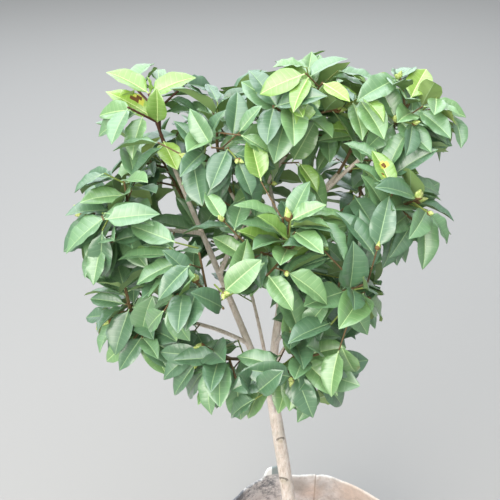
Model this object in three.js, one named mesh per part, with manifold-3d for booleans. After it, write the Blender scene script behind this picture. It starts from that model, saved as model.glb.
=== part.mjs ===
// A young camellia shrub in a round felt grow bag: a slim leaning trunk, forking boughs, and masses
// of leafy twigs that each keep to a space of their own.
// Millimetres, +Z up. The origin is the middle of the bag's flat underside, and -Y is the front.
import * as THREE from 'three';
import { mergeVertices } from 'three/addons/utils/BufferGeometryUtils.js';
import Module from 'manifold-3d';

const wasm = await Module();
wasm.setup();

// Driving sizes. Angles are in radians, and a share is a part of a limb's or a leaf's length.
const GAP = 0.3;
const BAG = { radius: 176, height: 300, wall: 5, floor: 5, segments: 32, slackFrom: 20, rimDepth: 60 };
// The waves of slack felt round the bag, in and out and up and down at its rim
const WALL_WAVES = [{ size: 4.4, count: 4, turn: -1.1 }, { size: 2.4, count: 9, turn: 2.57 }];
const RIM_WAVES = [
  { size: 14, count: 1, turn: 0 }, { size: 3, count: 2, turn: 1 }, { size: 1.5, count: 5, turn: 0 },
];
const RIM_FLAP = { angle: 1.95, width: 0.16, height: 18 };
const SOIL = { level: 220, rings: [1, 0.84, 0.62, 0.44], flat: 50, dip: 6 };
const CLODS = [{ size: 2.5, count: 4, curl: 0.05 }, { size: 2.5, count: 7, curl: -0.09 }];
const TRUNK = {
  foot: [-11, 0, 212], fork: [-67, 30, 675], swayAt: [0.4, 0.75], sway: [[8, -14, 0], [3, -14, 0]],
  radii: [12.2, 9.2], flare: 9, flareHeight: 16, sides: 12, steps: 9,
};
const BOUGH = {
  tipRadius: 2.3, entry: 0.5, mainRoot: 6, main: { sides: 8, steps: 8 }, side: { sides: 5, steps: 5 },
};
const LEADER = { sides: 4, steps: 4, tip: 1.8, leaves: 7, past: 0.42, lead: 0.4 };
const TWIG = { sides: 3, steps: 1, root: 1.6, tip: 1.2, leaves: 5, leafy: 0.72 };
const LEAF = {
  length: 70, width: 0.58, thickness: 2, neck: 0.22, widest: 0.47, fold: 0.13, arch: 0.16, sink: 0.3,
};
const LEAF_SIZE = { mature: 1, fresh: 0.94, young: 0.86 };
const BUD = { length: 17, radius: 3.6, sink: 4 };
const SPACE_MARGIN = 0.5;
const TWIG_CLEARANCE = 1;
const LEAF_CLEARANCE = 2;
const BEAD_SPACING = 4;
const SEED = { first: 4001, step: 97 };

// How a mass grows: where its side shoots leave the leader, how far they swing and lean and how long
// they are, and how far its leaves swing, lean, droop, roll and vary in size
const SHOOTS = {
  first: 0.24, span: 0.6, swing: 0.3, lean: [0.65, 1.1], length: [0.6, 0.85], longest: 1.1,
  shorten: 0.4, cut: 0.7, tries: 10,
};
const LEAVES = {
  first: 0.99, swing: 0.35, lean: 0.5, spread: 0.55, waver: 0.15, droop: [0.05, 0.5], roll: 0.3,
  upright: 1.2, size: [0.8, 1.12], tipSize: 0.86, turn: 0.6, small: 0.85, tries: 9,
};

// Each row is a bough and the mass of foliage at its end. The bough leaves its parent at a share of
// the parent's length, sets out by `rise` between the straight line and its parent's heading, and
// ends where it enters the mass's space, a ball round `centre` of radius `reach`. The mass's leader
// grows on outwards or, as `lift` nears 1, upwards.
const CROWN_AXIS = [-80, 30];
const BRANCHES = [
  { name: 'right_top', from: 'trunk', at: 1, root: 6.8, rise: 0.55,
    centre: [30, 118, 1056], reach: 96, lift: 0.8, tint: 'fresh', shoots: 5 },
  { name: 'left_top', from: 'trunk', at: 0.94, root: 6.4, rise: 0.02,
    centre: [-220, 84, 1098], reach: 94, lift: 0.9, tint: 'young', shoots: 4 },
  { name: 'centre_top', from: 'left_top', at: 0.56, root: 3.6, rise: 0.1,
    centre: [-34, 58, 1110], reach: 98, lift: 0.95, tint: 'fresh', shoots: 5 },
  { name: 'inner_left', from: 'right_top', at: 0.3, root: 3.4, rise: 0.12,
    centre: [-140, 50, 1062], reach: 96, lift: 1, tint: 'mature', shoots: 5 },
  { name: 'right_tip', from: 'right_top', at: 0.8, root: 3, rise: 0.1,
    centre: [82, 56, 1108], reach: 88, lift: 0.75, tint: 'fresh', shoots: 4 },
  { name: 'right_mid', from: 'right_top', at: 0.68, root: 3, rise: 0.1,
    centre: [62, -14, 1032], reach: 92, lift: 0.35, tint: 'mature', shoots: 5 },
  { name: 'right_low', from: 'right_top', at: 0.44, root: 3, rise: 0.2,
    centre: [-2, -78, 966], reach: 92, lift: 0.3, tint: 'mature', shoots: 5 },
  { name: 'centre', from: 'right_top', at: 0.5, root: 3, rise: 0.4,
    centre: [-60, -58, 998], reach: 98, lift: 0.55, tint: 'fresh', shoots: 5 },
  { name: 'lower_front', from: 'right_top', at: 0.14, root: 3.2, rise: 0.3,
    centre: [-46, -104, 892], reach: 96, lift: 0.25, tint: 'mature', shoots: 5 },
  { name: 'lower_left', from: 'trunk', at: 0.87, root: 3.2, rise: 0.3,
    centre: [-124, -104, 892], reach: 94, lift: 0.25, tint: 'mature', shoots: 5 },
  { name: 'mid_left', from: 'left_top', at: 0.4, root: 3.2, rise: 0.3,
    centre: [-146, -78, 966], reach: 98, lift: 0.45, tint: 'mature', shoots: 5 },
  { name: 'left_mid', from: 'left_top', at: 0.72, root: 3.2, rise: 0,
    centre: [-242, -6, 1000], reach: 98, lift: 0.5, tint: 'mature', shoots: 5 },
  { name: 'left_low', from: 'left_top', at: 0.27, root: 3.2, rise: 0.1,
    centre: [-228, -14, 872], reach: 96, lift: 0.35, tint: 'mature', shoots: 5 },
  { name: 'back_left', from: 'left_top', at: 0.48, root: 3.2, rise: 0.2,
    centre: [-204, 156, 968], reach: 98, lift: 0.45, tint: 'mature', shoots: 5 },
  { name: 'back', from: 'right_top', at: 0.36, root: 3.2, rise: 0.3,
    centre: [-82, 182, 1020], reach: 104, lift: 0.5, tint: 'mature', shoots: 5 },
  { name: 'back_right', from: 'right_top', at: 0.24, root: 3.2, rise: 0.3,
    centre: [48, 150, 926], reach: 98, lift: 0.35, tint: 'mature', shoots: 5 },
  { name: 'back_low', from: 'trunk', at: 0.9, root: 3, rise: 0.3,
    centre: [-112, 144, 856], reach: 96, lift: 0.25, tint: 'mature', shoots: 5 },
  { name: 'side_low', from: 'right_top', at: 0.08, root: 3, rise: 0.3,
    centre: [24, 34, 860], reach: 88, lift: 0.3, tint: 'mature', shoots: 4 },
];

const MATERIALS = {
  felt: { color: 0xcfc0aa, roughness: 0.95 },
  soil: { color: 0x7a4632, roughness: 0.98 },
  bark: { color: 0xb7a48c, roughness: 0.85 },
  twig: { color: 0x8a6a4c, roughness: 0.8 },
  mature: { color: 0x3f6b3c, roughness: 0.35 },
  fresh: { color: 0x55853f, roughness: 0.35 },
  young: { color: 0x8bb34a, roughness: 0.4 },
};

const UP = new THREE.Vector3(0, 0, 1);
const GOLDEN_ANGLE = THREE.MathUtils.degToRad(137.5);
const vector = (point) => new THREE.Vector3(...point);
const linear = (from, to) => (share) => THREE.MathUtils.lerp(from, to, share);

/** Random numbers between two limits, the same ones in each run. */
function seededRandom(seed) {
  let state = seed;
  return (low, high) => {
    state = (state * 16807) % 2147483647;
    return low + (high - low) * state / 2147483647;
  };
}

// Solids and meshes

function toSolid(geometry) {
  geometry.deleteAttribute('normal');
  geometry.deleteAttribute('uv');
  const merged = mergeVertices(geometry, 1e-4);
  return new wasm.Manifold(new wasm.Mesh({
    numProp: 3,
    vertProperties: Float32Array.from(merged.attributes.position.array),
    triVerts: Uint32Array.from(merged.index.array),
  }));
}

function largestBody(solid) {
  return solid.decompose().reduce((best, body) => (body.volume() > best.volume() ? body : best));
}

function namedMesh(name, solid, look) {
  const { vertProperties, triVerts } = solid.getMesh();
  const geometry = new THREE.BufferGeometry();
  geometry.setAttribute('position', new THREE.BufferAttribute(vertProperties, 3));
  geometry.setIndex(new THREE.BufferAttribute(triVerts, 1));
  geometry.computeVertexNormals();
  const material = new THREE.MeshStandardMaterial({ ...MATERIALS[look], metalness: 0, flatShading: true });
  const mesh = new THREE.Mesh(geometry, material);
  mesh.name = name;
  return mesh;
}

/** Moves every vertex of a geometry to where `place` puts it. */
function reshape(geometry, place) {
  const position = geometry.attributes.position;
  const corner = new THREE.Vector3();
  for (let i = 0; i < position.count; i++) {
    const moved = place(corner.fromBufferAttribute(position, i));
    position.setXYZ(i, moved.x, moved.y, moved.z);
  }
  return geometry;
}

// The grow bag and its soil

/** The bag's outer profile from its foot to its rim, as shares of its radius and heights. */
const BAG_PROFILE = [[0.88, 0], [0.96, 12], [0.99, 50], [1.01, 120], [1.005, 220], [0.995, 262],
  [1, BAG.height]];

/** The height at an angle of waves that run round the bag. */
function swell(waves, angle) {
  return waves.reduce((sum, { size, count, turn }) => sum + size * Math.sin(count * angle + turn), 0);
}

/** How far the felt stands out or in from a true circle: four broad waves under nine small folds. */
function bagBulge(angle, z) {
  return THREE.MathUtils.smoothstep(z, BAG.slackFrom, BAG.height) * swell(WALL_WAVES, angle);
}

/** How far the rim stands up or sags: higher at the back, where one flap of it is folded up. */
function rimLift(angle, z) {
  const share = THREE.MathUtils.smoothstep(z, BAG.height - BAG.rimDepth, BAG.height);
  const flap = Math.exp(-(((angle - RIM_FLAP.angle) / RIM_FLAP.width) ** 2));
  return share * (swell(RIM_WAVES, angle) + RIM_FLAP.height * flap);
}

/** A turned body whose skin `shift` moves out by one length and up by another. */
function turned(points, shift) {
  const profile = points.map(([radius, height]) => new THREE.Vector2(radius, height));
  const geometry = new THREE.LatheGeometry(profile, BAG.segments).rotateX(Math.PI / 2);
  return toSolid(reshape(geometry, (corner) => {
    const angle = Math.atan2(corner.y, corner.x);
    const radius = Math.hypot(corner.x, corner.y);
    const [out, lift] = radius < 1 ? [0, 0] : shift(angle, radius, corner.z);
    const moved = radius + out;
    return new THREE.Vector3(Math.cos(angle) * moved, Math.sin(angle) * moved, corner.z + lift);
  }));
}

/** The bag, or with some `extra` on the inside, the room it keeps clear of the soil. */
function makeBag(extra = 0) {
  const outer = BAG_PROFILE.map(([share, z]) => [BAG.radius * share, z]);
  const inner = outer.slice(1).map(([radius, z]) => [radius - BAG.wall - extra, z]).reverse();
  const floor = BAG.floor + extra;
  return turned([[0, 0], ...outer, ...inner, [inner[inner.length - 1][0] - BAG.wall, floor], [0, floor]],
    (angle, radius, z) => [bagBulge(angle, z), rimLift(angle, z)]);
}

/** The soil fills the bag to its level, flat round the trunk's foot and cloddy further out. */
function makeSoil() {
  const side = BAG_PROFILE.slice(1).filter(([, z]) => z < SOIL.level)
    .map(([share, z]) => [BAG.radius * share - BAG.wall / 2, z]);
  const rim = BAG.radius - BAG.wall / 2;
  const rings = SOIL.rings.map((share) => [rim * share, SOIL.level]);
  const block = turned([[0, BAG.floor], ...side, ...rings, [SOIL.flat, SOIL.level], [0, SOIL.level]],
    (angle, radius, z) => {
      if (z < SOIL.level) return [bagBulge(angle, z), 0];
      const lumps = swell(CLODS.map((clod) => ({ ...clod, turn: radius * clod.curl })), angle);
      const away = THREE.MathUtils.smoothstep(radius, SOIL.flat, rim);
      return [away * bagBulge(angle, z), away * (lumps - SOIL.dip)];
    });
  return largestBody(block.subtract(makeBag(GAP)));
}

// Limbs

/** A closed tapering limb: a capped cylinder bent along a curve. */
function limbSolid({ curve, radiusAt, sides, steps }, extra = 0) {
  const chord = curve.getPoint(1).sub(curve.getPoint(0)).normalize();
  const across = Math.abs(chord.y) < 0.7 ? new THREE.Vector3(0, 1, 0) : new THREE.Vector3(1, 0, 0);
  return toSolid(reshape(new THREE.CylinderGeometry(1, 1, 1, sides, steps), (corner) => {
    const share = corner.y + 0.5;
    const tangent = curve.getTangent(share);
    const sideways = new THREE.Vector3().crossVectors(across, tangent).normalize();
    const other = new THREE.Vector3().crossVectors(sideways, tangent);
    const radius = radiusAt(share) + extra;
    return curve.getPoint(share).addScaledVector(sideways, corner.x * radius)
      .addScaledVector(other, corner.z * radius);
  }));
}

/** Balls along a limb that stand for it when leaves and twigs keep clear of it. */
function beadsOf({ curve, radiusAt }) {
  const count = Math.ceil(curve.getLength() / BEAD_SPACING);
  return Array.from({ length: count + 1 }, (_, i) => (
    { point: curve.getPoint(i / count), radius: radiusAt(i / count) }));
}

/** A curve that sets out along `heading` for a share `lead` of its length and bends to its tip. */
function bentCurve(start, heading, tip, lead) {
  const length = start.distanceTo(tip);
  const straight = tip.clone().sub(start).normalize();
  const control = start.clone().addScaledVector(straight, length * 0.5 * (1 - lead))
    .addScaledVector(heading, length * lead);
  return new THREE.QuadraticBezierCurve3(start, control, tip);
}

/** The trunk: it leans and sways from its flared foot to the fork. */
function makeTrunk() {
  const foot = vector(TRUNK.foot);
  const fork = vector(TRUNK.fork);
  const bends = TRUNK.swayAt.map((share, i) => foot.clone().lerp(fork, share).add(vector(TRUNK.sway[i])));
  const curve = new THREE.CubicBezierCurve3(foot, ...bends, fork);
  const taper = linear(...TRUNK.radii);
  const rise = curve.getLength() / TRUNK.flareHeight;
  return { curve, radiusAt: (share) => taper(share) + TRUNK.flare * Math.exp(-share * rise),
    sides: TRUNK.sides, steps: TRUNK.steps };
}

/** A bough from its parent's side, or a hair clear of its parent's cut end. */
function makeBough(branch, parent) {
  const tangent = parent.curve.getTangent(branch.at);
  const start = parent.curve.getPoint(branch.at);
  if (branch.at === 1) start.addScaledVector(tangent, GAP);
  const centre = vector(branch.centre);
  const inside = branch.reach * BOUGH.entry / start.distanceTo(centre);
  const tip = centre.clone().lerp(start, inside);
  const heading = tangent.lerp(UP, 0.5).normalize();
  const main = branch.root > BOUGH.mainRoot;
  return { curve: bentCurve(start, heading, tip, branch.rise), main,
    radiusAt: linear(branch.root, BOUGH.tipRadius), ...(main ? BOUGH.main : BOUGH.side) };
}

/** The leader: it carries on from the cut end of the bough through the middle of the space. */
function makeLeader(branch) {
  const { curve } = branch.bough;
  const heading = curve.getTangent(1);
  const start = curve.getPoint(1).addScaledVector(heading, GAP);
  const centre = vector(branch.centre);
  const outward = centre.clone().sub(vector([...CROWN_AXIS, branch.centre[2]])).normalize();
  const growth = outward.lerp(UP, branch.lift).normalize();
  const tip = centre.addScaledVector(growth, branch.reach * LEADER.past);
  return { curve: bentCurve(start, heading, tip, LEADER.lead), leaves: LEADER.leaves,
    radiusAt: linear(BOUGH.tipRadius, LEADER.tip), sides: LEADER.sides, steps: LEADER.steps };
}

const limbs = new Map([['trunk', makeTrunk()]]);
for (const branch of BRANCHES) {
  const parent = branch.from === 'trunk' ? 'trunk' : `bough_${branch.from}`;
  branch.bough = makeBough(branch, limbs.get(parent));
  branch.leader = makeLeader(branch);
  limbs.set(`bough_${branch.name}`, branch.bough);
}

/** A limb's solid, cut flat at the soil and a hair clear of every limb that came before it. */
function fittedLimb(name) {
  const names = [...limbs.keys()];
  const earlier = names.slice(0, names.indexOf(name));
  const whole = limbSolid(limbs.get(name)).trimByPlane([0, 0, 1], SOIL.level + GAP);
  return largestBody(earlier.reduce((solid, other) => solid.subtract(limbSolid(limbs.get(other), GAP)),
    whole));
}

// Each mass's own space

/** True where a point lies in the branch's ball and on its own side of every neighbour's border. */
function inSpace(branch, point, margin) {
  const own = vector(branch.centre);
  if (point.distanceTo(own) > branch.reach - margin) return false;
  return BRANCHES.every((other) => {
    if (other === branch) return true;
    const centre = vector(other.centre);
    const spare = point.distanceToSquared(centre) - other.reach ** 2
      - point.distanceToSquared(own) + branch.reach ** 2;
    return spare / (2 * own.distanceTo(centre)) > margin;
  });
}

// Leaves

/** A leaf's outline points, from its root, heading, upper side and length. */
function makeLeaf(root, heading, upper, length) {
  const ahead = heading.clone().normalize();
  const normal = upper.clone().addScaledVector(ahead, -upper.dot(ahead)).normalize();
  const across = new THREE.Vector3().crossVectors(ahead, normal);
  const spine = (share) => root.clone().addScaledVector(ahead, length * share)
    .addScaledVector(normal, -LEAF.arch * length * share * share);
  const middle = spine(LEAF.widest);
  const width = LEAF.width * length;
  const edge = (side) => middle.clone().addScaledVector(across, side * width / 2)
    .addScaledVector(normal, LEAF.fold * width);
  return { root, ahead, normal, middle, tip: spine(1), left: edge(-1), right: edge(1),
    inner: spine(LEAF.neck) };
}

const leafFaces = ({ inner, left, right, tip }) => [[inner, left, tip], [inner, tip, right]]
  .map((corners) => new THREE.Triangle(...corners));
const leafEdges = ({ inner, left, right, tip }) => [[inner, tip], [inner, left], [left, tip],
  [inner, right], [right, tip]];

/** True where an edge of one leaf passes through a face of the other. */
function pierces(leaf, other) {
  const ray = new THREE.Ray();
  const hit = new THREE.Vector3();
  return leafEdges(leaf).some(([from, to]) => {
    const length = from.distanceTo(to);
    ray.set(from, to.clone().sub(from).divideScalar(length));
    return leafFaces(other).some((face) => ray.intersectTriangle(face.a, face.b, face.c, false, hit)
      && hit.distanceTo(from) < length);
  });
}

/** True where a leaf comes too near any of the balls that stand for the wood. */
function touchesWood(leaf, beads) {
  const near = new THREE.Vector3();
  const faces = leafFaces(leaf);
  return beads.some(({ point, radius }) => point.distanceTo(leaf.middle) < LEAF.length + radius
    && faces.some((face) => (
      face.closestPointToPoint(point, near).distanceTo(point) < radius + LEAF_CLEARANCE)));
}

/** A leaf of eight faces, thickest on its midrib, with its base sunk into its shoot. */
function leafSolid(leaf) {
  const raised = (height) => leaf.middle.clone().addScaledVector(leaf.normal, height);
  const ends = {
    x: [leaf.left, leaf.right],
    y: [leaf.root.clone().addScaledVector(leaf.ahead, -LEAF.sink), leaf.tip],
    z: [raised(-LEAF.thickness / 2), raised(LEAF.thickness / 2)],
  };
  return toSolid(reshape(new THREE.OctahedronGeometry(1), (corner) => {
    const axis = ['x', 'y', 'z'].find((name) => Math.abs(corner[name]) > 0.5);
    return ends[axis][corner[axis] > 0 ? 1 : 0];
  }));
}

/** A pointed bud at the end of a leader. */
function budSolid({ curve }) {
  const axis = curve.getTangent(1);
  const turn = new THREE.Quaternion().setFromUnitVectors(new THREE.Vector3(0, 1, 0), axis);
  const middle = curve.getPoint(1).addScaledVector(axis, BUD.length / 2 - BUD.sink);
  const geometry = new THREE.OctahedronGeometry(1).scale(BUD.radius, BUD.length / 2, BUD.radius);
  return toSolid(geometry.applyQuaternion(turn).translate(...middle.toArray()));
}

// Growth of one mass

/** A direction that leans from an axis to one side of it. */
function leaning(axis, turn, lean) {
  const across = Math.abs(axis.z) < 0.9 ? UP : new THREE.Vector3(1, 0, 0);
  const side = new THREE.Vector3().crossVectors(axis, across).normalize().applyAxisAngle(axis, turn);
  return axis.clone().multiplyScalar(Math.cos(lean)).addScaledVector(side, Math.sin(lean));
}

/** A straight side shoot from the leader, turned or cut shorter until it has room, or none. */
function growShoot(branch, wood, share, turn, lean, length) {
  const start = branch.leader.curve.getPoint(share);
  const axis = branch.leader.curve.getTangent(share);
  for (let attempt = 0; attempt < SHOOTS.tries; attempt++) {
    const heading = leaning(axis, turn + attempt * GOLDEN_ANGLE, lean);
    const reach = attempt < SHOOTS.tries / 2 ? length : length * SHOOTS.cut;
    const curve = new THREE.LineCurve3(start, start.clone().addScaledVector(heading, reach));
    const shoot = { curve, radiusAt: linear(TWIG.root, TWIG.tip), sides: TWIG.sides,
      steps: TWIG.steps, leaves: TWIG.leaves };
    const clear = beadsOf(shoot).every(({ point }) => inSpace(branch, point, TWIG.root + SPACE_MARGIN)
      && wood.every((ball) => ball.point.distanceTo(point) > ball.radius + TWIG.root + TWIG_CLEARANCE));
    if (clear) return shoot;
  }
  return null;
}

/** One leaf on a shoot, turned about it until it has room, or none. */
function growLeaf(branch, shoot, share, pose, wood, leaves) {
  const root = shoot.curve.getPoint(share);
  const axis = shoot.curve.getTangent(share);
  for (let attempt = 0; attempt < LEAVES.tries; attempt++) {
    const swing = Math.ceil(attempt / 2) * (attempt % 2 ? LEAVES.turn : -LEAVES.turn);
    const heading = leaning(axis, pose.turn + swing, pose.lean);
    heading.z -= pose.droop;
    const upper = UP.clone().multiplyScalar(LEAVES.upright).add(axis)
      .applyAxisAngle(heading.normalize(), pose.roll);
    const length = attempt > LEAVES.tries / 2 ? pose.length * LEAVES.small : pose.length;
    const leaf = makeLeaf(root, heading, upper, length);
    const inside = [leaf.tip, leaf.left, leaf.right, leaf.middle]
      .every((corner) => inSpace(branch, corner, SPACE_MARGIN + LEAF.thickness / 2));
    const free = inside && !touchesWood(leaf, wood)
      && !leaves.some((other) => pierces(leaf, other) || pierces(other, leaf));
    if (free) return leaf;
  }
  return null;
}

/** All shoots and leaves of a mass, in the order in which they grow. */
function growMass(branch, seed, wood) {
  const random = seededRandom(seed);
  const shoots = [branch.leader];
  for (let i = 0; i < branch.shoots; i++) {
    const share = SHOOTS.first + SHOOTS.span * (i + 0.5) / branch.shoots;
    const turn = i * GOLDEN_ANGLE + random(-SHOOTS.swing, SHOOTS.swing);
    const lean = random(...SHOOTS.lean);
    const length = branch.reach * random(...SHOOTS.length) * (SHOOTS.longest - SHOOTS.shorten * share);
    const shoot = growShoot(branch, wood, share, turn, lean, length);
    if (shoot) shoots.push(shoot);
  }
  const leaves = [];
  for (const shoot of shoots) {
    const nearWood = [...wood, ...shoots.filter((other) => other !== shoot).flatMap(beadsOf)];
    for (let i = 0; i < shoot.leaves; i++) {
      const share = LEAVES.first - TWIG.leafy * i / shoot.leaves;
      const pose = {
        turn: i * GOLDEN_ANGLE + random(-LEAVES.swing, LEAVES.swing),
        lean: LEAVES.lean + LEAVES.spread * Math.min(1, i / 2) + random(-LEAVES.waver, LEAVES.waver),
        droop: random(...LEAVES.droop),
        roll: random(-LEAVES.roll, LEAVES.roll),
        length: LEAF.length * LEAF_SIZE[branch.tint] * random(...LEAVES.size) * (i ? 1 : LEAVES.tipSize),
      };
      const leaf = growLeaf(branch, shoot, share, pose, nearWood, leaves);
      if (leaf) leaves.push(leaf);
    }
  }
  return { shoots, leaves };
}

/** A mass's shoots, leaves and bud in one body, a hair clear of the bough that carries it. */
function massSolid(branch, index) {
  const otherLeaders = BRANCHES.filter((other) => other !== branch).map((other) => other.leader);
  const wood = [...limbs.values(), ...otherLeaders]
    .flatMap((limb) => (limb === branch.bough ? beadsOf(limb).slice(0, -2) : beadsOf(limb)));
  const { shoots, leaves } = growMass(branch, SEED.first + SEED.step * index, wood);
  const pieces = [...shoots.map((shoot) => limbSolid(shoot)), ...leaves.map(leafSolid),
    budSolid(branch.leader)];
  return largestBody(wasm.Manifold.union(pieces).subtract(limbSolid(branch.bough, GAP)).simplify(0.01));
}

// The plant and its bag

const camellia = new THREE.Group();
camellia.add(namedMesh('grow_bag', makeBag(), 'felt'));
camellia.add(namedMesh('soil', makeSoil(), 'soil'));
for (const [name, limb] of limbs) {
  camellia.add(namedMesh(name, fittedLimb(name), name === 'trunk' || limb.main ? 'bark' : 'twig'));
}
BRANCHES.forEach((branch, index) => {
  camellia.add(namedMesh(`foliage_${branch.name}`, massSolid(branch, index), branch.tint));
});

export default camellia;
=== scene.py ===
# The looks of a young camellia shrub in a felt grow bag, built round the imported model.
# Metres, +Z up, in the frame of the model. The crown grows here by the rule that grew its solids,
# and is carried on to finer twigs within the same reach.
import functools
import math
from collections import namedtuple

import bpy
import numpy as np
from bpy.props import FloatProperty, FloatVectorProperty, IntProperty, PointerProperty
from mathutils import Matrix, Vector


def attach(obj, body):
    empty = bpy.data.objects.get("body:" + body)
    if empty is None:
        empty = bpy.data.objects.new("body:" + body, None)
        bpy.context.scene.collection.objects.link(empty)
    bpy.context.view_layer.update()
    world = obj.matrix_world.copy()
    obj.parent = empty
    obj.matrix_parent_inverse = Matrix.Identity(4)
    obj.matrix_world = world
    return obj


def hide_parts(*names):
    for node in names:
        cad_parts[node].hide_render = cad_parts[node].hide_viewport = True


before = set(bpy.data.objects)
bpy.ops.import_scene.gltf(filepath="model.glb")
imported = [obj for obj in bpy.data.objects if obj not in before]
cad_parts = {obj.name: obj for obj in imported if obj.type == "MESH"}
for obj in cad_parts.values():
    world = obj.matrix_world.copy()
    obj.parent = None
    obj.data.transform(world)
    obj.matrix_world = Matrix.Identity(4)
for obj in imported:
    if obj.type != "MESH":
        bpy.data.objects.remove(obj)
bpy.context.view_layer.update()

bl_info = {
    "name": "Potted camellia",
    "version": (1, 0, 0),
    "blender": (4, 5, 0),
    "location": "View3D > Sidebar > Camellia",
    "description": "Dresses the packed model of a camellia shrub in a felt grow bag",
    "category": "Object",
}

BODY = "root"
UP = np.array((0.0, 0.0, 1.0))
GOLDEN_ANGLE = math.radians(137.5)

# Sizes and shares that the model's solids are made with, here in metres
GAP = 0.0003
BAG_RADIUS, BAG_HEIGHT, BAG_WALL, BAG_FLOOR = 0.176, 0.3, 0.005, 0.005
BAG_SLACK_FROM, RIM_DEPTH = 0.02, 0.06
# Waves of slack felt and clods of soil: size, count round the bag, and turn or curl
WALL_WAVES = ((0.0044, 4, -1.1), (0.0024, 9, 2.57))
RIM_WAVES = ((0.014, 1, 0), (0.003, 2, 1), (0.0015, 5, 0))
CLODS = ((0.0025, 4, 50), (0.0025, 7, -90))
SEAM_ANGLE, SEAM_LAP = 1.42, 0.08
# The flap folded up from the rim: the angles at which it rises and falls, and how far it stands
# and leans
RIM_FLAP = {"rise": (1.7, 1.84), "fall": (1.925, 2.02), "height": 0.021, "lean": 0.006}
# The bag's side view: its share of the full radius at each height
BAG_PROFILE = ((0.88, 0), (0.96, 0.012), (0.99, 0.05), (1.01, 0.12), (1.005, 0.22), (0.995, 0.262), (1, 0.3))
SOIL_LEVEL, SOIL_FLAT, SOIL_DIP = 0.22, 0.05, 0.006
TRUNK_FOOT, TRUNK_FORK = (-0.011, 0, 0.212), (-0.067, 0.03, 0.675)
TRUNK_SWAY = ((0.4, (0.008, -0.014, 0)), (0.75, (0.003, -0.014, 0)))
TRUNK_RADII, TRUNK_FLARE, FLARE_HEIGHT = (0.0122, 0.0092), 0.009, 0.016
BOUGH_TIP, BOUGH_ENTRY, MAIN_ROOT = 0.0023, 0.5, 0.006
LEADER_TIP, LEADER_LEAVES, LEADER_PAST, LEADER_LEAD = 0.0018, 7, 0.42, 0.4
LEAF_LENGTH, LEAF_WIDTH, LEAF_NECK, LEAF_WIDEST = 0.07, 0.58, 0.22, 0.47
LEAF_FOLD, LEAF_ARCH, LEAF_SINK, LEAF_THICK = 0.13, 0.16, 0.0003, 0.002
LEAF_SIZE = {"mature": 1, "fresh": 0.94, "young": 0.86}
SPACE_MARGIN, TWIG_CLEARANCE, LEAF_CLEARANCE, BEAD_SPACING = 0.0005, 0.001, 0.002, 0.004
FIRST_SEED, SEED_STEP = 4001, 97
SHOOTS = {
    "first": 0.24, "span": 0.6, "swing": 0.3, "lean": (0.65, 1.1), "length": (0.6, 0.85),
    "longest": 1.1, "shorten": 0.4, "cut": 0.7, "tries": 10, "radii": (0.0016, 0.0012), "leaves": 5,
}
LEAVES = {
    "first": 0.99, "leafy": 0.72, "swing": 0.35, "lean": 0.5, "spread": 0.55, "waver": 0.15,
    "droop": (0.05, 0.5), "roll": 0.3, "upright": 1.2, "size": (0.8, 1.12), "tip_size": 0.86, "turn": 0.6,
    "small": 0.85, "tries": 9,
}
CROWN_AXIS = (-0.08, 0.03)

# The finer twigs, which the solids leave out: how far apart they leave their stems, how they stand
# and how many leaves they bear
FINE = {
    "seed": 7000, "spacing": 0.024, "first": 0.25, "lean": (0.5, 1.1), "length": (0.028, 0.055),
    "radii": (0.0011, 0.0008), "leaves": 4, "size": 0.98, "cut": 0.7, "tries": 8,
}
# Where along a side bough its finer twigs start
SPUR_FROM = 0.5

# What leaves are kept out of, so that the crown looks as in the photo: its open gaps, bare lengths
# of its boughs, the view of its young shoot, and the space past its outline at the lower right. Each
# is a line between two points, and no leaf stands in the sheet between it and the photo's eye.
EYE = (-0.0998, -0.8512, 1.5705)
OPENINGS = np.array([(EYE, start, end) for start, end in (
    ((-0.105, 0.034, 0.78), (-0.165, 0.052, 0.935)),
    ((-0.112, 0.03, 0.79), (-0.165, 0.02, 0.825)),
    ((-0.064, 0.03, 0.79), (-0.095, 0.0, 0.865)),
    ((-0.198, 0.066, 0.96), (-0.216, 0.08, 1.06)),
    ((-0.216, 0.08, 1.07), (-0.23, 0.085, 1.14)),
    ((-0.218, 0.083, 1.1), (-0.272, 0.097, 1.138)),
    ((-0.216, 0.083, 1.1), (-0.196, 0.1, 1.12)),
    ((0.13, 0.2, 0.778), (0.13, 0.2, 0.662)),
    ((0.154, 0.2, 0.782), (0.151, 0.2, 0.716)),
    ((0.128, 0.2, 0.655), (0.104, 0.2, 0.617)),
    ((-0.071, 0.06, 0.99), (-0.045, 0.075, 1.04)),
    ((0.024, 0.09, 0.98), (0.022, 0.1, 1.03)),
)])
# How far off them leaves keep, those of the masses and those of the finer twigs
OPENING_ROOM, FINE_OPENING_ROOM = 0.004, 0.012

CAMERA_PITCH = math.radians(35.6)
# How near its leader's end a young leaf may grow, as a share of its length
LAST_SHARE = 0.995
# The young shoot at the crown's upper left, leaf by leaf as the photo shows it: the share of the
# leader that each grows from, its heading and its upper side as (right, up, away) from the eye
# that took the photo, and its length
YOUNG_SHOOT = (
    (1.0, (-0.8, 0.6, -0.1), (0.4, 0.5, -0.77), 0.06),
    (0.97, (0.83, 0.46, -0.2), (-0.2, 0.45, -0.87), 0.06),
    (0.5, (-0.8, 0.56, -0.15), (0.3, 0.4, -0.86), 0.072),
    (0.44, (0.1, 0.6, -0.7), (0.1, 0.35, -0.9), 0.05),
    (0.2, (0.32, -0.62, -0.65), (0.0, 0.74, -0.67), 0.056),
    (0.26, (-0.5, -0.35, 0.6), (-0.3, 0.9, -0.2), 0.05),
    (1.0, (0.05, 1.0, -0.1), (0.9, 0.0, -0.4), 0.022),
)

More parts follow.
